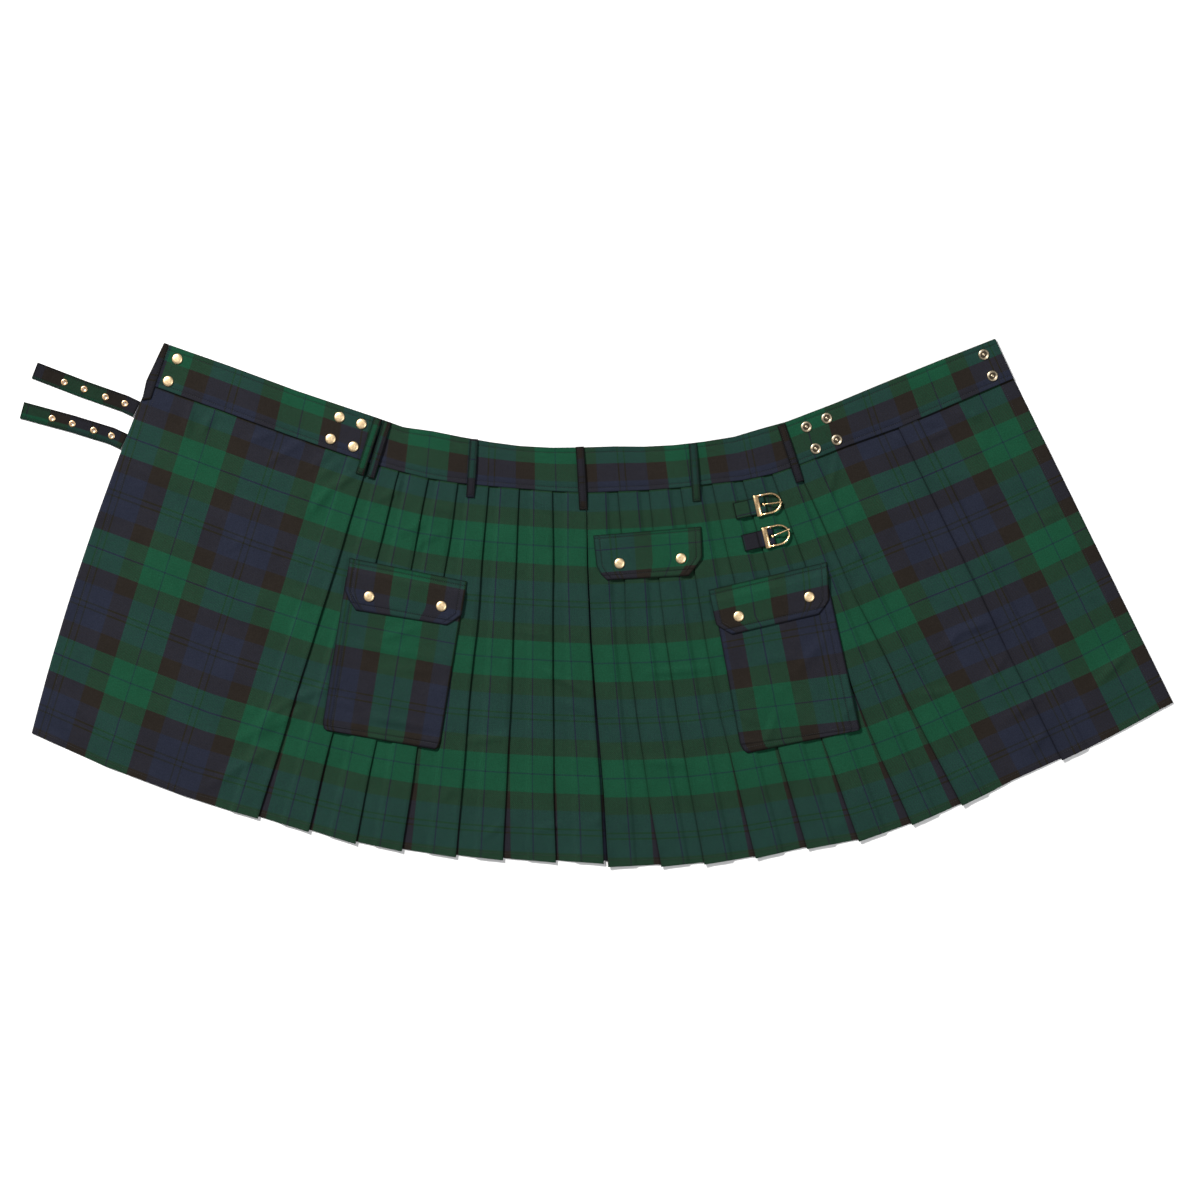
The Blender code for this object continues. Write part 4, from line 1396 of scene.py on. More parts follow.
@dataclass
class Buckle:
    """Small D buckle: a plate bar, a D wire, a centre bar, and a prong that turns on it."""

    name: str
    place: Point
    turn: float
    lean: float
    plate_length: float = 7.5
    plate_width: float = 31.0
    plate_thick: float = 1.6
    plate_base: float = 6.5
    wire_radius: float = 1.4
    arm_y: float = 14.0
    arc_x: float = 22.0
    end_x: float = 38.0
    wire_high: float = 7.3
    wire_low: float = 5.35
    bar_x: float = 13.0
    bar_z: float = 6.5
    bar_radius: float = 1.0
    prong_radius: float = 0.95
    eye_inner: float = 1.35
    eye_outer: float = 2.25
    eye_width: float = 2.6

    def matrix(self) -> Matrix:
        """Buckle frame to row frame, in metres."""
        x, y = shifted(*self.place)
        return Matrix.Translation(Vector((x, y, 0.0)) * MM) @ Matrix.Rotation(math.radians(self.turn), 4, "Z")

    def wire_height(self, x: float) -> float:
        """Height of the D wire's middle at a distance from the plate's free edge."""
        return self.wire_high + (self.wire_low - self.wire_high) * x / self.end_x

    def build_frame(self) -> bpy.types.Object:
        """Plate bar, D wire and centre bar in one piece.

        Returns:
            The buckle's frame.
        """
        work = bmesh.new()
        size = Matrix.Diagonal((self.plate_length * MM, self.plate_width * MM, self.plate_thick * MM, 1.0))
        middle = Matrix.Translation(Vector((self.plate_length / 2, 0.0, self.plate_base + self.plate_thick / 2)) * MM)
        cube = bmesh.ops.create_cube(work, size=1.0, matrix=middle @ size)["verts"]
        edges = [edge for edge in {e for vert in cube for e in vert.link_edges}
                 if abs(edge.verts[0].co.x - edge.verts[1].co.x) > self.plate_length * MM / 2]
        bmesh.ops.subdivide_edges(work, edges=edges, cuts=11, use_grid_fill=True)
        for vert in work.verts:
            off = (vert.co.x / MM - self.plate_length / 2) / (self.plate_length / 2)
            if vert.co.z > (self.plate_base + self.plate_thick / 2) * MM:
                vert.co.z += (0.25 - 1.1 * abs(off) ** 2.6) * MM
        rim = [edge for edge in work.edges if edge.is_manifold and edge.calc_face_angle(0.0) > math.radians(50)]
        bmesh.ops.bevel(work, geom=rim, offset=0.3 * MM, affect="EDGES", segments=2, profile=0.5, material=-1)
        path = [Vector((self.plate_length / 2, self.arm_y, self.wire_height(self.plate_length / 2))),
                Vector((self.arc_x - 6.0, self.arm_y, self.wire_height(self.arc_x - 6.0)))]
        for step in range(90, -91, -9):
            a = math.radians(step)
            x = self.arc_x + (self.end_x - self.arc_x) * math.cos(a)
            path.append(Vector((x, self.arm_y * math.sin(a), self.wire_height(x))))
        path.append(Vector((self.arc_x - 6.0, -self.arm_y, self.wire_height(self.arc_x - 6.0))))
        path.append(Vector((self.plate_length / 2, -self.arm_y, self.wire_height(self.plate_length / 2))))
        sweep(work, path, [self.wire_radius] * len(path), 16)
        bar = [Vector((self.bar_x, y, self.bar_z)) for y in (-self.arm_y, 0.0, self.arm_y)]
        sweep(work, bar, [self.bar_radius] * 3, 16)
        bmesh.ops.recalc_face_normals(work, faces=work.faces)
        bmesh.ops.transform(work, matrix=self.matrix(), verts=work.verts)
        item = object_from(work, "d_frame_" + self.name, BUCKLE_BRASS.material())
        log.info("%s", item.name)
        return settle(item, ["buckle_frame_" + self.name])

    def build_prong(self) -> bpy.types.Object:
        """Prong: an eye round the centre bar and an arm resting on the D wire.

        Returns:
            The prong, riding on its own body.
        """
        work = bmesh.new()
        half = self.eye_width / 2
        inner, outer = self.eye_inner, self.eye_outer
        profile = [(inner, half - 0.2), (inner + 0.2, half), (outer - 0.3, half), (outer, half - 0.3),
                   (outer, -half + 0.3), (outer - 0.3, -half), (inner + 0.2, -half), (inner, -half + 0.2)]
        dots = [work.verts.new((radius * MM, y * MM, 0.0)) for radius, y in profile]
        edges = [work.edges.new(pair) for pair in zip(dots, dots[1:] + dots[:1])]
        bmesh.ops.spin(work, geom=dots + edges, cent=(0.0, 0.0, 0.0), axis=(0.0, 1.0, 0.0),
                       angle=2.0 * math.pi, steps=24, use_merge=True)
        bmesh.ops.remove_doubles(work, verts=work.verts, dist=1e-6)
        slope = math.tan(math.radians(self.lean))
        rest = self.wire_height(self.end_x) + self.wire_radius + SEAM_GAP + self.prong_radius - self.bar_z
        start = (inner + outer) / 2
        path = [Vector((start, 0.0, 0.3)), Vector((start + 2.0, 2.0 * slope, rest - 0.8)),
                Vector((start + 4.5, 4.5 * slope, rest - 0.1))]
        for reach in (8.0, 14.0, 20.0, 25.0, 26.6, 27.6):
            path.append(Vector((reach, reach * slope, rest - (0.2 if reach > 26.0 else 0.0))))
        radii = [self.prong_radius] * 7 + [self.prong_radius * 0.9, self.prong_radius * 0.5]
        sweep(work, path, radii, 12)
        bmesh.ops.recalc_face_normals(work, faces=work.faces)
        axle = Matrix.Translation(Vector((self.bar_x, 0.0, self.bar_z)) * MM)
        bmesh.ops.transform(work, matrix=self.matrix() @ axle, verts=work.verts)
        item = object_from(work, "tongue_" + self.name, BUCKLE_BRASS.material())
        log.info("%s", item.name)
        return settle(item, ["prong_" + self.name], "prong_" + self.name)


@dataclass
class BuckleTab:
    """Strip of cloth doubled round the buckle's centre bar, slotted for the prong."""

    buckle: Buckle
    finish: TartanCloth
    slot: Slot
    warp: float
    weft: float
    weft_step: float = -1.0
    width: float = 24.4
    length: float = 31.0
    cloth: float = 1.0
    slot_half: float = 2.6
    slot_start: float = 8.3
    upper_rows: tuple[float, ...] = (0.0, 0.2, 0.36, 0.42, 0.46, 0.50, 0.7, 0.94, 0.97, 1.0)
    painted_shade_rows: tuple[int, ...] = (-7, -2, -1)     # rows given painted shade: the stitched row and the end, counted from the end

    def line(self) -> list[Point]:
        """Middle line of the doubled strip from its lower end round the bar to its upper end.

        Returns:
            Distance along the strap and height of each corner, in millimetres.
        """
        low = STACK + SEAM_GAP + self.cloth / 2
        high = low + self.cloth + SEAM_GAP
        bar_x, bar_z = self.buckle.bar_x, self.buckle.bar_z
        wrap = self.buckle.bar_radius + 0.3 + self.cloth / 2
        points = [(-self.length + k * (self.length + bar_x - 4.0) / 9, low) for k in range(10)]
        for step in range(-75, 106, 15):
            a = math.radians(step)
            points.append((bar_x + wrap * math.cos(a), max(bar_z + wrap * math.sin(a), low)))
        back = bar_x - 5.2
        points += [(back + (-self.length - back) * share, high) for share in self.upper_rows]
        return points

    def build(self) -> bpy.types.Object:
        """The tab's cloth.

        Returns:
            The tab.
        """
        line = np.array(self.line())
        marks = np.concatenate([[0.0], np.cumsum(np.linalg.norm(np.diff(line, axis=0), axis=1))])
        half = self.width / 2
        across = np.array([-half, -half + 0.6, -half + 2.0, -7.0, -self.slot_half, 0.0, self.slot_half, 7.0,
                           half - 2.0, half - 0.6, half])
        work = bmesh.new()
        bmesh.ops.create_grid(work, x_segments=len(across) - 1, y_segments=len(line) - 1, size=1.0)
        work.verts.ensure_lookup_table()
        layer = work.loops.layers.uv.new(CLOTH_MAP)
        pressed = work.verts.layers.float.new(PAINTED_SHADE)
        work.verts.ensure_lookup_table()
        rows = [len(line) + row for row in self.painted_shade_rows]
        threads = []
        for k, (x, z) in enumerate(line):
            for j, y in enumerate(across):
                vert = work.verts[k * len(across) + j]
                vert.co = Vector((x, y, z)) * MM
                # painted shade on the stitched row, the end and the side edges
                vert[pressed] = 0.95 if k in rows or half - abs(y) < 0.7 else 0.0
                threads.append((self.warp + y, self.weft + self.weft_step * marks[k]))
        cut = []
        for face in work.faces:
            for loop in face.loops:
                pair = threads[loop.vert.index]
                loop[layer].uv = (pair[0] * MM, pair[1] * MM)
            centre = face.calc_center_median()
            if abs(centre.y) < self.slot_half * MM and centre.x > self.slot_start * MM:
                cut.append(face)
        bmesh.ops.delete(work, geom=cut, context="FACES")
        bmesh.ops.recalc_face_normals(work, faces=work.faces)
        bmesh.ops.transform(work, matrix=self.buckle.matrix(), verts=work.verts)
        item = object_from(work, "tab_" + self.buckle.name, self.finish.material())
        wall = item.modifiers.new("cloth wall", "SOLIDIFY")
        wall.thickness = self.cloth * MM
        wall.offset = 0.0
        wall.use_even_offset = True
        settle(item, ["buckle_tab_" + self.buckle.name])
        log.info("%s", item.name)
        return item


# ---------------------------------------------------------------- sewing


@dataclass
class Stitching:
    """Rows of machine stitches laid on the cloth below them."""

    name: str
    rows: list[list[Point]]
    ground: list[bpy.types.Object]
    pitch: float = 3.3
    length: float = 2.5
    radius: float = 0.34

    def build(self) -> bpy.types.Object:
        """All stitches of these rows in one piece.

        Returns:
            The stitches.
        """
        graph = bpy.context.evaluated_depsgraph_get()
        trees = [BVHTree.FromObject(item, graph) for item in self.ground]
        work = bmesh.new()
        down = Vector((0.0, 0.0, -1.0))
        for row in self.rows:
            for place, run in along_path(row, self.pitch):
                origin = Vector((place.x * MM, place.y * MM, 0.05))
                hits = [tree.ray_cast(origin, down) for tree in trees]
                hits = [hit for hit in hits if hit[0] is not None]
                if not hits:
                    continue
                spot, normal = max(hits, key=lambda hit: hit[0].z)[:2]
                flat_run = (run - normal * run.dot(normal)).normalized()
                side = normal.cross(flat_run)
                turn = Matrix((flat_run, side, normal)).transposed().to_4x4()
                size = Matrix.Diagonal((self.length / 2 * MM, self.radius * MM, self.radius * MM, 1.0))
                bmesh.ops.create_icosphere(work, subdivisions=1, radius=1.0,
                                           matrix=Matrix.Translation(spot + normal * 0.05 * MM) @ turn @ size)
        count = len(work.verts) // 12
        item = settle(object_from(work, self.name, Thread().material()))
        log.info("%s: %d stitches", item.name, count)
        return item


# ---------------------------------------------------------------- studio


@dataclass
class Studio:
    """Pale floor, soft lights and the camera straight above."""

    frame_width: float = 1.759
    lens: float = 85.0
    sensor: float = 36.0
    middle: Point = (5.3, 2.7)

    def build_floor(self) -> bpy.types.Object:
        """Pale floor under the kilt.

        Returns:
            The floor.
        """
        made = bpy.data.materials.new("pale studio floor")
        made.use_nodes = True
        board = NodeBoard(made.node_tree)
        shader = made.node_tree.nodes["Principled BSDF"]
        spot = board.add("ShaderNodeTexCoord")
        tone = board.grain(spot.outputs["Object"], 3.0, 2.0, 0.985, 1.0)
        board.plug(shader.inputs["Base Color"], board.shade((0.92, 0.92, 0.92), tone))
        board.plug(shader.inputs["Roughness"], board.grain(spot.outputs["Object"], 60.0, 2.0, 0.6, 0.75))
        shader.inputs["Specular IOR Level"].default_value = 0.2
        work = bmesh.new()
        bmesh.ops.create_grid(work, x_segments=8, y_segments=8, size=12.0,
                              matrix=Matrix.Translation((0.0, 0.0, -0.0003)))
        floor = object_from(work, "studio_floor", made)
        return floor

    def add_light(self, name: str, place: Colour, size: float, power: float, colour: Colour) -> None:
        """Square soft light aimed at the kilt.

        Args:
            name: Name of the light.
            place: Place in metres.
            size: Side in metres.
            power: Power in watts.
            colour: Colour of the light.
        """
        light = bpy.data.lights.new(name, "AREA")
        light.shape = "SQUARE"
        light.size = size
        light.energy = power
        light.color = colour
        item = bpy.data.objects.new(name, light)
        item.location = place
        item.rotation_mode = "QUATERNION"
        item.rotation_quaternion = (-Vector(place)).to_track_quat("-Z", "Y")
        item.visible_camera = False
        bpy.context.scene.collection.objects.link(item)

    def build(self) -> None:
        """Lights, pale surroundings and camera."""
        scene = bpy.context.scene
        world = bpy.data.worlds.new("pale studio")
        world.use_nodes = True
        back = world.node_tree.nodes["Background"]
        back.inputs["Color"].default_value = (1.0, 1.0, 1.0, 1.0)
        back.inputs["Strength"].default_value = 0.22
        scene.world = world
        self.add_light("soft_main", (-4.0, 4.3, 4.8), 1.1, 930.0, (1.0, 0.99, 0.97))
        self.add_light("soft_fill", (4.2, -1.2, 5.6), 3.0, 190.0, (0.97, 0.98, 1.0))
        scene.view_settings.view_transform = "Standard"
        data = bpy.data.cameras.new("camera_above")
        data.lens = self.lens
        data.sensor_width = self.sensor
        data.clip_start, data.clip_end = 0.1, 50.0
        item = bpy.data.objects.new("camera_above", data)
        item.location = (self.middle[0] * MM, self.middle[1] * MM, self.frame_width * self.lens / self.sensor)
        scene.collection.objects.link(item)
        scene.camera = item


# ---------------------------------------------------------------- the kilt's tables

FACING_ROWS = ((-633.5, 379.5, -626.4, 377.2, 0.0), (-659.6, 323.8, -644.9, 321.6, 0.0),
               (-666.0, 295.4, -653.2, 297.2, 0.0))
# belt loops: node, top x, y, foot x, y, warp place, weft place
BELT_LOOPS = (
    ("belt_loop_left_outer", (-320.1, 268.6), (-347.1, 186.4), 14.0, -38.0),
    ("belt_loop_left_inner", (-306.1, 264.2), (-331.5, 182.0), 27.0, 30.0),
    ("belt_loop_left", (-179.4, 238.5), (-185.0, 152.9), 70.0, -30.0),
    ("belt_loop_middle", (-24.6, 227.2), (-19.2, 135.0), 42.0, 34.8),
    ("belt_loop_right", (140.7, 232.5), (146.7, 147.0), 10.0, 54.0),
    ("belt_loop_far_right", (270.2, 259.5), (297.9, 175.9), 44.0, 27.0),
)
# straps: node, centre line from the free end, weft place of the lower edge, warp place of the free end
STRAPS = (
    ("strap_upper", ((-823.5, 339.4), (-751.0, 311.5), (-691.2, 290.5), (-674.2, 282.3)), 22.7, -77.0),
    ("strap_lower", ((-842.1, 281.0), (-768.3, 261.0), (-710.7, 243.3), (-692.6, 234.7)), 18.0, -8.0),
)
EYELETS = (
    ("eyelet_upper", ((-779.9, 321.8), (-750.9, 311.7), (-719.7, 300.2), (-691.2, 290.6))),
    ("eyelet_lower", ((-797.9, 268.9), (-768.3, 261.0), (-737.1, 251.4), (-710.7, 243.3))),
)
POCKET_LEFT = ((-366.8, 36.1, -195.1, 2.2, 0.0), (-397.7, -159.2, -226.4, -190.4, 0.0),
               (-400.7, -177.5, -228.4, -203.9, 0.0), (-399.3, -185.2, -231.0, -212.0, 0.0),
               (-394.5, -188.4, -236.2, -216.1, 0.0))
POCKET_RIGHT = ((172.8, -4.5, 337.8, 32.1, 0.0), (207.0, -191.5, 382.5, -173.9, 0.0),
                (210.1, -207.6, 385.6, -184.9, 0.0), (213.6, -215.6, 384.5, -187.5, 0.0),
                (221.2, -221.5, 381.0, -188.2, 0.0))
FLAP_LEFT = ((-361.4, 64.4, -189.6, 29.9, 0.0), (-363.1, 52.6, -191.3, 18.2, 0.0),
             (-364.0, 46.8, -192.2, 12.3, 1.0), (-368.3, 17.4, -197.3, -19.2, 1.0),
             (-362.1, 2.8, -206.9, -26.5, 1.0), (-352.0, -12.3, -219.3, -33.9, 1.0))
FLAP_RIGHT = ((164.3, 17.2, 337.2, 58.3, 0.0), (166.1, 5.7, 337.9, 46.8, 0.0),
              (167.1, -0.1, 338.4, 40.9, 1.0), (175.0, -33.9, 340.1, 2.8, 1.0),
              (186.8, -41.2, 332.6, -8.2, 1.0), (198.5, -47.6, 324.6, -18.2, 1.0))
FLAP_BACK = ((-4.7, 97.0, 152.9, 110.0, 0.0), (-0.1, 52.6, 154.7, 65.1, 0.0),
             (6.3, 40.5, 145.6, 51.9, 0.0), (15.0, 32.0, 135.0, 38.1, 0.0))
BAND_CAPS = (
    ("snap_cap_end_top", -614.0, 355.7), ("snap_cap_end_low", -627.4, 323.1),
    ("snap_cap_outer_top", -376.5, 270.5), ("snap_cap_inner_top", -344.4, 260.7),
    ("snap_cap_outer_low", -389.5, 238.7), ("snap_cap_inner_low", -356.2, 227.4),
)
FLAP_CAPS = (
    ("snap_cap_pocket_left_a", -332.8, 7.9, 1.0), ("snap_cap_pocket_left_b", -227.1, -6.3, 1.0),
    ("snap_cap_pocket_right_a", 207.9, -21.1, 1.0), ("snap_cap_pocket_right_b", 311.2, 7.3, 1.0),
    ("snap_cap_back_a", 33.6, 56.4, 0.0), ("snap_cap_back_b", 123.6, 63.6, 0.0),
)
BAND_STUDS = (
    ("snap_stud_inner_top", 307.1, 256.4), ("snap_stud_outer_top", 337.0, 268.9),
    ("snap_stud_inner_low", 320.9, 224.4), ("snap_stud_outer_low", 351.8, 237.2),
    ("snap_stud_end_top", 566.9, 362.1), ("snap_stud_end_low", 579.7, 330.9),
)
CAP_PROFILE = ((0.0, 2.5), (2.6, 2.47), (4.6, 2.33), (6.0, 2.05), (6.9, 1.6), (7.5, 1.0), (7.8, 0.5),
               (7.6, 0.15), (6.9, 0.0), (0.0, 0.0))
STUD_PROFILE = ((0.0, 2.5), (1.3, 2.4), (2.1, 2.0), (2.4, 1.4), (2.2, 0.9), (2.8, 0.6), (4.2, 0.6),
                (4.7, 1.1), (5.4, 1.7), (6.2, 1.75), (7.0, 1.55), (7.7, 1.1), (8.0, 0.6), (7.6, 0.1),
                (7.0, 0.0), (0.0, 0.0))
LEFT_BAG_CREASES = (
    Crease((-335.0, -179.0), (-232.0, -197.0), 6.0, -1.6), Crease((-338.0, -167.0), (-244.0, -183.0), 6.0, 1.6),
    Crease((-371.0, -120.0), (-351.0, -159.0), 5.0, 1.9), Crease((-313.0, -54.0), (-259.0, -37.0), 5.0, 1.9),
    Crease((-369.0, -60.0), (-215.0, -85.0), 6.0, 1.2), Crease((-300.0, -97.0), (-235.0, -103.0), 5.0, 1.4),
    Crease((-383.0, -144.0), (-358.0, -153.0), 5.0, 1.4),
)
RIGHT_BAG_CREASES = (
    Crease((263.0, -163.0), (250.0, -204.0), 4.5, 2.3), Crease((247.0, -207.0), (212.0, -207.0), 4.0, 1.9),
    Crease((255.0, -160.0), (243.0, -195.0), 4.0, -1.1), Crease((206.0, -163.0), (240.0, -179.0), 4.0, 1.8),
    Crease((294.0, -100.0), (332.0, -57.0), 7.0, 2.3), Crease((360.0, -173.0), (376.0, -144.0), 5.0, 1.6),
    Crease((240.0, -85.0), (298.0, -78.0), 6.0, 1.2), Crease((218.0, -129.0), (247.0, -120.0), 5.0, 1.2),
)
CREASES = (
    Crease((-351.0, 189.0), (-391.0, 164.0), 5.0, 3.5), Crease((-391.0, 164.0), (-418.0, 133.0), 5.0, 3.5),
    Crease((-430.0, 236.0), (-481.0, 204.0), 4.0, 2.6), Crease((-473.0, 248.0), (-509.0, 236.0), 4.0, 2.3),
    Crease((-371.0, 209.0), (-410.0, 180.0), 4.0, 2.3), Crease((-391.0, 220.0), (-417.0, 196.0), 3.5, 1.9),
    Crease((-606.0, 130.0), (-586.0, 105.0), 3.5, 2.4), Crease((-594.0, 290.0), (-602.0, 243.0), 6.0, 2.8),
    Crease((-561.0, 277.0), (-577.0, 248.0), 5.0, 2.8), Crease((-561.0, 280.0), (-534.0, 267.0), 4.0, 1.8),
    Crease((-673.0, 198.0), (-656.0, 183.0), 3.5, 1.9), Crease((-782.0, -125.0), (-737.0, -183.0), 6.0, 3.0),
    Crease((-795.0, -162.0), (-780.0, -188.0), 5.0, 2.3), Crease((-392.0, -125.0), (-449.0, -144.0), 6.0, 3.3),
    Crease((-449.0, -144.0), (-498.0, -183.0), 6.0, 3.3), Crease((-420.0, -154.0), (-530.0, -205.0), 8.0, 3.0),
    Crease((-480.0, -214.0), (-572.0, -273.0), 7.0, 2.8), Crease((-288.0, 182.0), (-292.0, 157.0), 4.0, 2.1),
    Crease((-322.0, 148.0), (-297.0, 160.0), 4.0, 2.3), Crease((-448.0, 13.0), (-401.0, -3.0), 5.0, 1.8),
    Crease((-537.0, 79.0), (-512.0, 92.0), 5.0, 1.6), Crease((-285.0, 101.0), (-259.0, 113.0), 4.0, 1.8),
    Crease((-96.0, 158.0), (-67.0, 130.0), 4.0, 3.0), Crease((-263.0, 76.0), (-253.0, 91.0), 4.5, 2.3),
    Crease((-253.0, 91.0), (-225.0, 101.0), 4.5, 2.3), Crease((-87.0, -96.0), (-11.0, -135.0), 5.0, 2.6),
    Crease((-187.0, -204.0), (-133.0, -198.0), 4.0, 3.0), Crease((73.0, -104.0), (165.0, -98.0), 4.0, 3.0),
    Crease((-162.0, -343.0), (-137.0, -324.0), 4.0, 2.8), Crease((-87.0, -334.0), (-53.0, -326.0), 4.0, 2.6),
    Crease((-9.0, -327.0), (8.0, -317.0), 4.0, 2.1), Crease((-125.0, -41.0), (-69.0, -50.0), 4.0, 1.8),
    Crease((-244.0, 142.0), (-212.0, 132.0), 4.0, 2.1), Crease((-53.0, -144.0), (-9.0, -162.0), 5.0, 1.9),
    Crease((-229.0, -291.0), (-207.0, -270.0), 5.0, 2.1), Crease((64.0, -232.0), (137.0, -239.0), 5.0, 2.1),
    Crease((152.0, -291.0), (174.0, -308.0), 5.0, 1.8), Crease((429.0, 248.0), (454.0, 231.0), 4.0, 2.6),
    Crease((474.0, 265.0), (508.0, 261.0), 4.0, 2.3), Crease((483.0, 239.0), (517.0, 252.0), 4.0, 2.6),
    Crease((529.0, 281.0), (546.0, 272.0), 5.0, 3.0), Crease((546.0, 272.0), (562.0, 275.0), 5.0, 2.6),
    Crease((353.0, 218.0), (341.0, 148.0), 4.5, 2.3), Crease((513.0, -66.0), (529.0, -46.0), 6.0, 3.1),
    Crease((529.0, -46.0), (578.0, -28.0), 6.0, 3.5), Crease((571.0, -120.0), (600.0, -79.0), 5.0, 2.6),
    Crease((734.0, -120.0), (776.0, -75.0), 6.0, 3.5), Crease((600.0, -172.0), (646.0, -142.0), 5.0, 2.4),
    Crease((637.0, -217.0), (659.0, -188.0), 5.0, 2.8), Crease((461.0, -138.0), (529.0, -129.0), 4.0, 2.1),
    Crease((375.0, 61.0), (398.0, 79.0), 4.5, 1.9), Crease((650.0, 120.0), (687.0, 132.0), 5.0, 1.8),
    Crease((709.0, 17.0), (732.0, 3.0), 5.0, 1.8),
)
# radii of the cap's rim, coloured copper as painted shade where its reflection darkens
CAP_SHADED_RIM = (7.2, 9.0)
STUD_GROOVE = (2.2, 4.9)
# sewn pieces that hold the pleats below them flat: middle x, y, half sizes and turn
HELD = ((-297.0, -75.0, 92.0, 150.0, -11.3), (276.0, -70.0, 92.0, 150.0, 12.5), (74.0, 70.0, 86.0, 44.0, 4.5),
        (225.0, 115.0, 46.0, 48.0, 13.0))


def pressed_places(buckles: Sequence[Buckle]) -> tuple[tuple[float, float, float], ...]:
    """Places that stay flat under the metal, with their reach.

    Args:
        buckles: The two buckles.

    Returns:
        x, y and reach in millimetres.
    """
    spots = [(x, y, 16.0) for _, x, y in BAND_CAPS + BAND_STUDS]
    spots += [(x, y, 16.0) for _, x, y, _ in FLAP_CAPS]
    spots += [(x, y, 12.0) for _, ring in EYELETS for x, y in ring]
    for buckle in buckles:
        turn = math.radians(buckle.turn)
        for ahead in (-24.0, 0.0, 24.0):
            spots.append((buckle.place[0] + ahead * math.cos(turn), buckle.place[1] + ahead * math.sin(turn), 32.0))
    return tuple(spots)


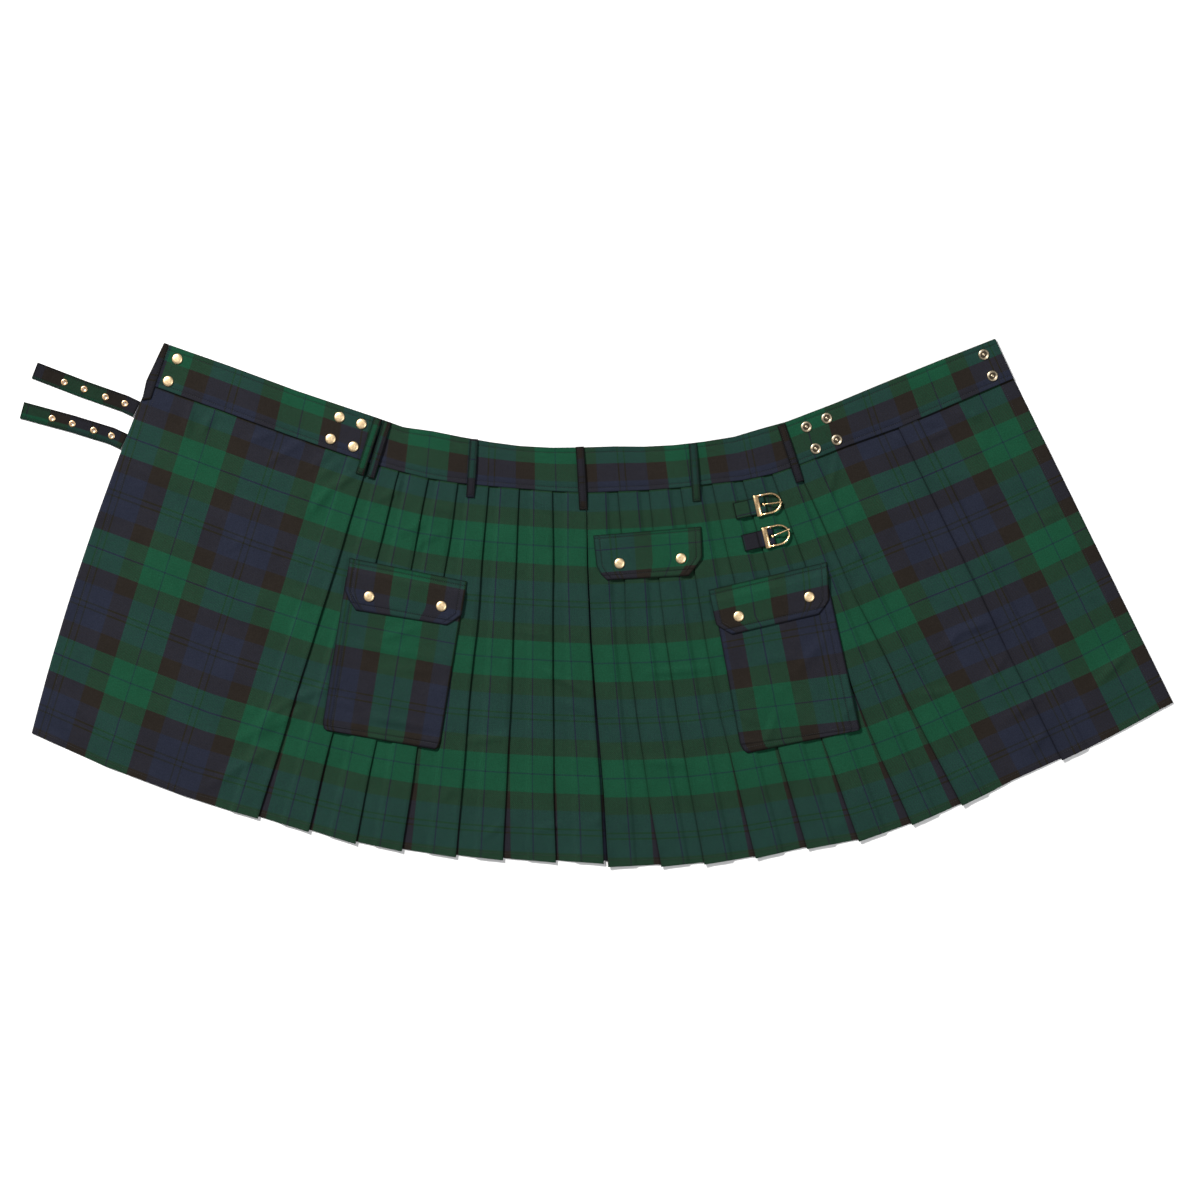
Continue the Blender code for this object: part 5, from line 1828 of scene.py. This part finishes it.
def build_cloth(lie: Lie) -> list[bpy.types.Object]:
    """Builds the skirt, band, loops, straps, pockets and flaps, and sews them.

    Args:
        lie: How the cloth lies.

    Returns:
        The cloth pieces.
    """
    left = SkirtHalf(Side.LEFT, LEFT_LINES, LEFT_FOLD_WARP, (27.0, 33.0), LEFT_SWAY, -10.3, 6.0)
    right = SkirtHalf(Side.RIGHT, RIGHT_LINES, RIGHT_FOLD_WARP, (-27.5, -34.0), RIGHT_SWAY, 0.0, 0.0)
    band = Waistband()
    skirt = [left.build(lie), right.build(lie), band.build(lie)]
    Stitching("stitches_skirt", left.sewing(7.0, 16.5) + right.sewing(7.0, 19.0), skirt).build()
    Stitching("stitches_band", band.sewing(), skirt).build()
    small = [CutPiece("tartan_end_facing", "band_end_facing", FACING_ROWS, CLOTH + SEAM_GAP, 1.4, DARK_TARTAN,
                      Slot.DARK, straight_cut(38.0, 30.0), edge=1.5, sewn_side=2.6, is_sewn_left=False,
                      rests_on="tartan_waistband")]
    for node, top, foot, warp, weft in BELT_LOOPS:
        cut = turned_cut(weft=18.0, warp=-43.0) if node.endswith("left_outer") else straight_cut(warp, weft)
        small.append(CutPiece("tartan_" + node, node, ribbon_rows((top, foot), 12.0), LOOP_BASE, 1.2, DARK_TARTAN,
                              Slot.DARK, cut, edge=1.2, arch=1.9, sewn_side=2.4, sewn_end=3.0, pucker=0.0,
                              rests_on="tartan_waistband"))
    pockets = [
        CutPiece("tartan_pocket_left", "pocket_left", POCKET_LEFT, POCKET_BASE, POCKET_THICK, TARTAN, Slot.TARTAN,
                 turned_cut(-94.0, 162.7 - 228.0), sewn_side=12.0, sewn_end=8.5, is_sewn_right=False, pucker=0.6,
                 creases=LEFT_BAG_CREASES, stand=(2.2, 0.4)),
        CutPiece("tartan_pocket_right", "pocket_right", POCKET_RIGHT, POCKET_BASE, POCKET_THICK, TARTAN,
                 Slot.TARTAN, turned_cut(-59.5, 55.7 - 222.0), sewn_side=12.0, sewn_end=8.5, is_sewn_left=False,
                 pucker=0.6, creases=RIGHT_BAG_CREASES, stand=(1.2, 1.4), rests_on="tartan_skirt_right"),
        CutPiece("tartan_flap_left", "pocket_flap_left", FLAP_LEFT, POCKET_BASE, FLAP_THICK, TARTAN, Slot.TARTAN,
                 turned_cut(-94.0, 20.5), rise=FLAP_RISE, sewn_side=8.8, sewn_end=8.8, sewn_top=7.0,
                 stand=(1.6, 0.6), rests_on="tartan_pocket_left"),
        CutPiece("tartan_flap_right", "pocket_flap_right", FLAP_RIGHT, POCKET_BASE, FLAP_THICK, TARTAN,
                 Slot.TARTAN, turned_cut(-61.6, 1.0), rise=FLAP_RISE, sewn_side=8.8, sewn_end=8.8, sewn_top=7.0,
                 stand=(1.2, 1.2), rests_on="tartan_pocket_right"),
        CutPiece("tartan_flap_back", "pocket_flap_back", FLAP_BACK, POCKET_BASE, FLAP_THICK, TARTAN, Slot.TARTAN,
                 turned_cut(-111.4, -22.0), sewn_side=8.4, sewn_end=8.4, sewn_top=5.0, stand=(0.6, 1.6),
                 rests_on="tartan_skirt_right"),
    ]
    made = [piece.build(lie) for piece in small + pockets]
    rows = [row for piece in small for row in piece.sewing()]
    Stitching("stitches_loops", rows, skirt + made, pitch=2.9, length=2.2, radius=0.28).build()
    rows = [row for piece in pockets for row in piece.sewing()]
    Stitching("stitches_pockets", rows, skirt + made).build()
    flat = Lie((), (), swell=0.0, rumple=0.0)
    straps = [CutPiece("tartan_" + node, node, ribbon_rows(path, 25.0), 0.0, STRAP_THICK, STRAP_TARTAN, Slot.DARK,
                       turned_cut(weft, warp), edge=1.5, wall=STRAP_THICK, sewn_side=3.4, sewn_end=0.0, spacing=1.4,
                       pucker=0.0, holes=dict(EYELETS)[node.replace("strap", "eyelet")], groove=0.3,
                       rests_on="studio_floor") for node, path, weft, warp in STRAPS]
    laid = [strap.build(flat) for strap in straps]
    Stitching("stitches_straps", [row for strap in straps for row in strap.sewing()], laid).build()
    return skirt + made + laid


def build_kilt() -> None:
    """Builds every piece of the kilt in order."""
    buckles = [Buckle("upper", (232.0, 139.7), 13.0, -5.0), Buckle("lower", (244.6, 93.1), 13.5, 9.0)]
    build_cloth(Lie(CREASES, pressed_places(buckles), HELD))
    for ring, spots in EYELETS:
        for k, spot in enumerate(spots):
            Eyelet(f"{ring}_{k + 1}", spot).build()
    for node, x, y in BAND_CAPS:
        Snap("brass_" + node, node, (x, y), LOOP_BASE, CAP_PROFILE, BRASS, Slot.BRASS, CAP_SHADED_RIM, COPPER).build()
    for node, x, y, climb in FLAP_CAPS:
        base = POCKET_BASE + FLAP_THICK + SEAM_GAP + FLAP_RISE * climb
        Snap("brass_" + node, node, (x, y), base, CAP_PROFILE, BRASS, Slot.BRASS, CAP_SHADED_RIM, COPPER).build()
    for node, x, y in BAND_STUDS:
        Snap("antique_" + node, node, (x, y), LOOP_BASE, STUD_PROFILE, ANTIQUE, Slot.ANTIQUE, STUD_GROOVE,
             DARK_BRASS).build()
    for buckle in buckles:
        is_upper = buckle.name == "upper"
        BuckleTab(buckle, GREEN_TARTAN if is_upper else DARK_TARTAN, Slot.GREEN if is_upper else Slot.DARK,
                  8.0 if is_upper else 76.0, 125.0 if is_upper else 119.0).build()
        buckle.build_frame()
        buckle.build_prong()


def main() -> None:
    """Builds the studio and the kilt."""
    logging.basicConfig(level=logging.INFO, format="%(message)s")
    studio = Studio()
    studio.build_floor()
    studio.build()
    build_kilt()


if __name__ == "__main__":
    main()
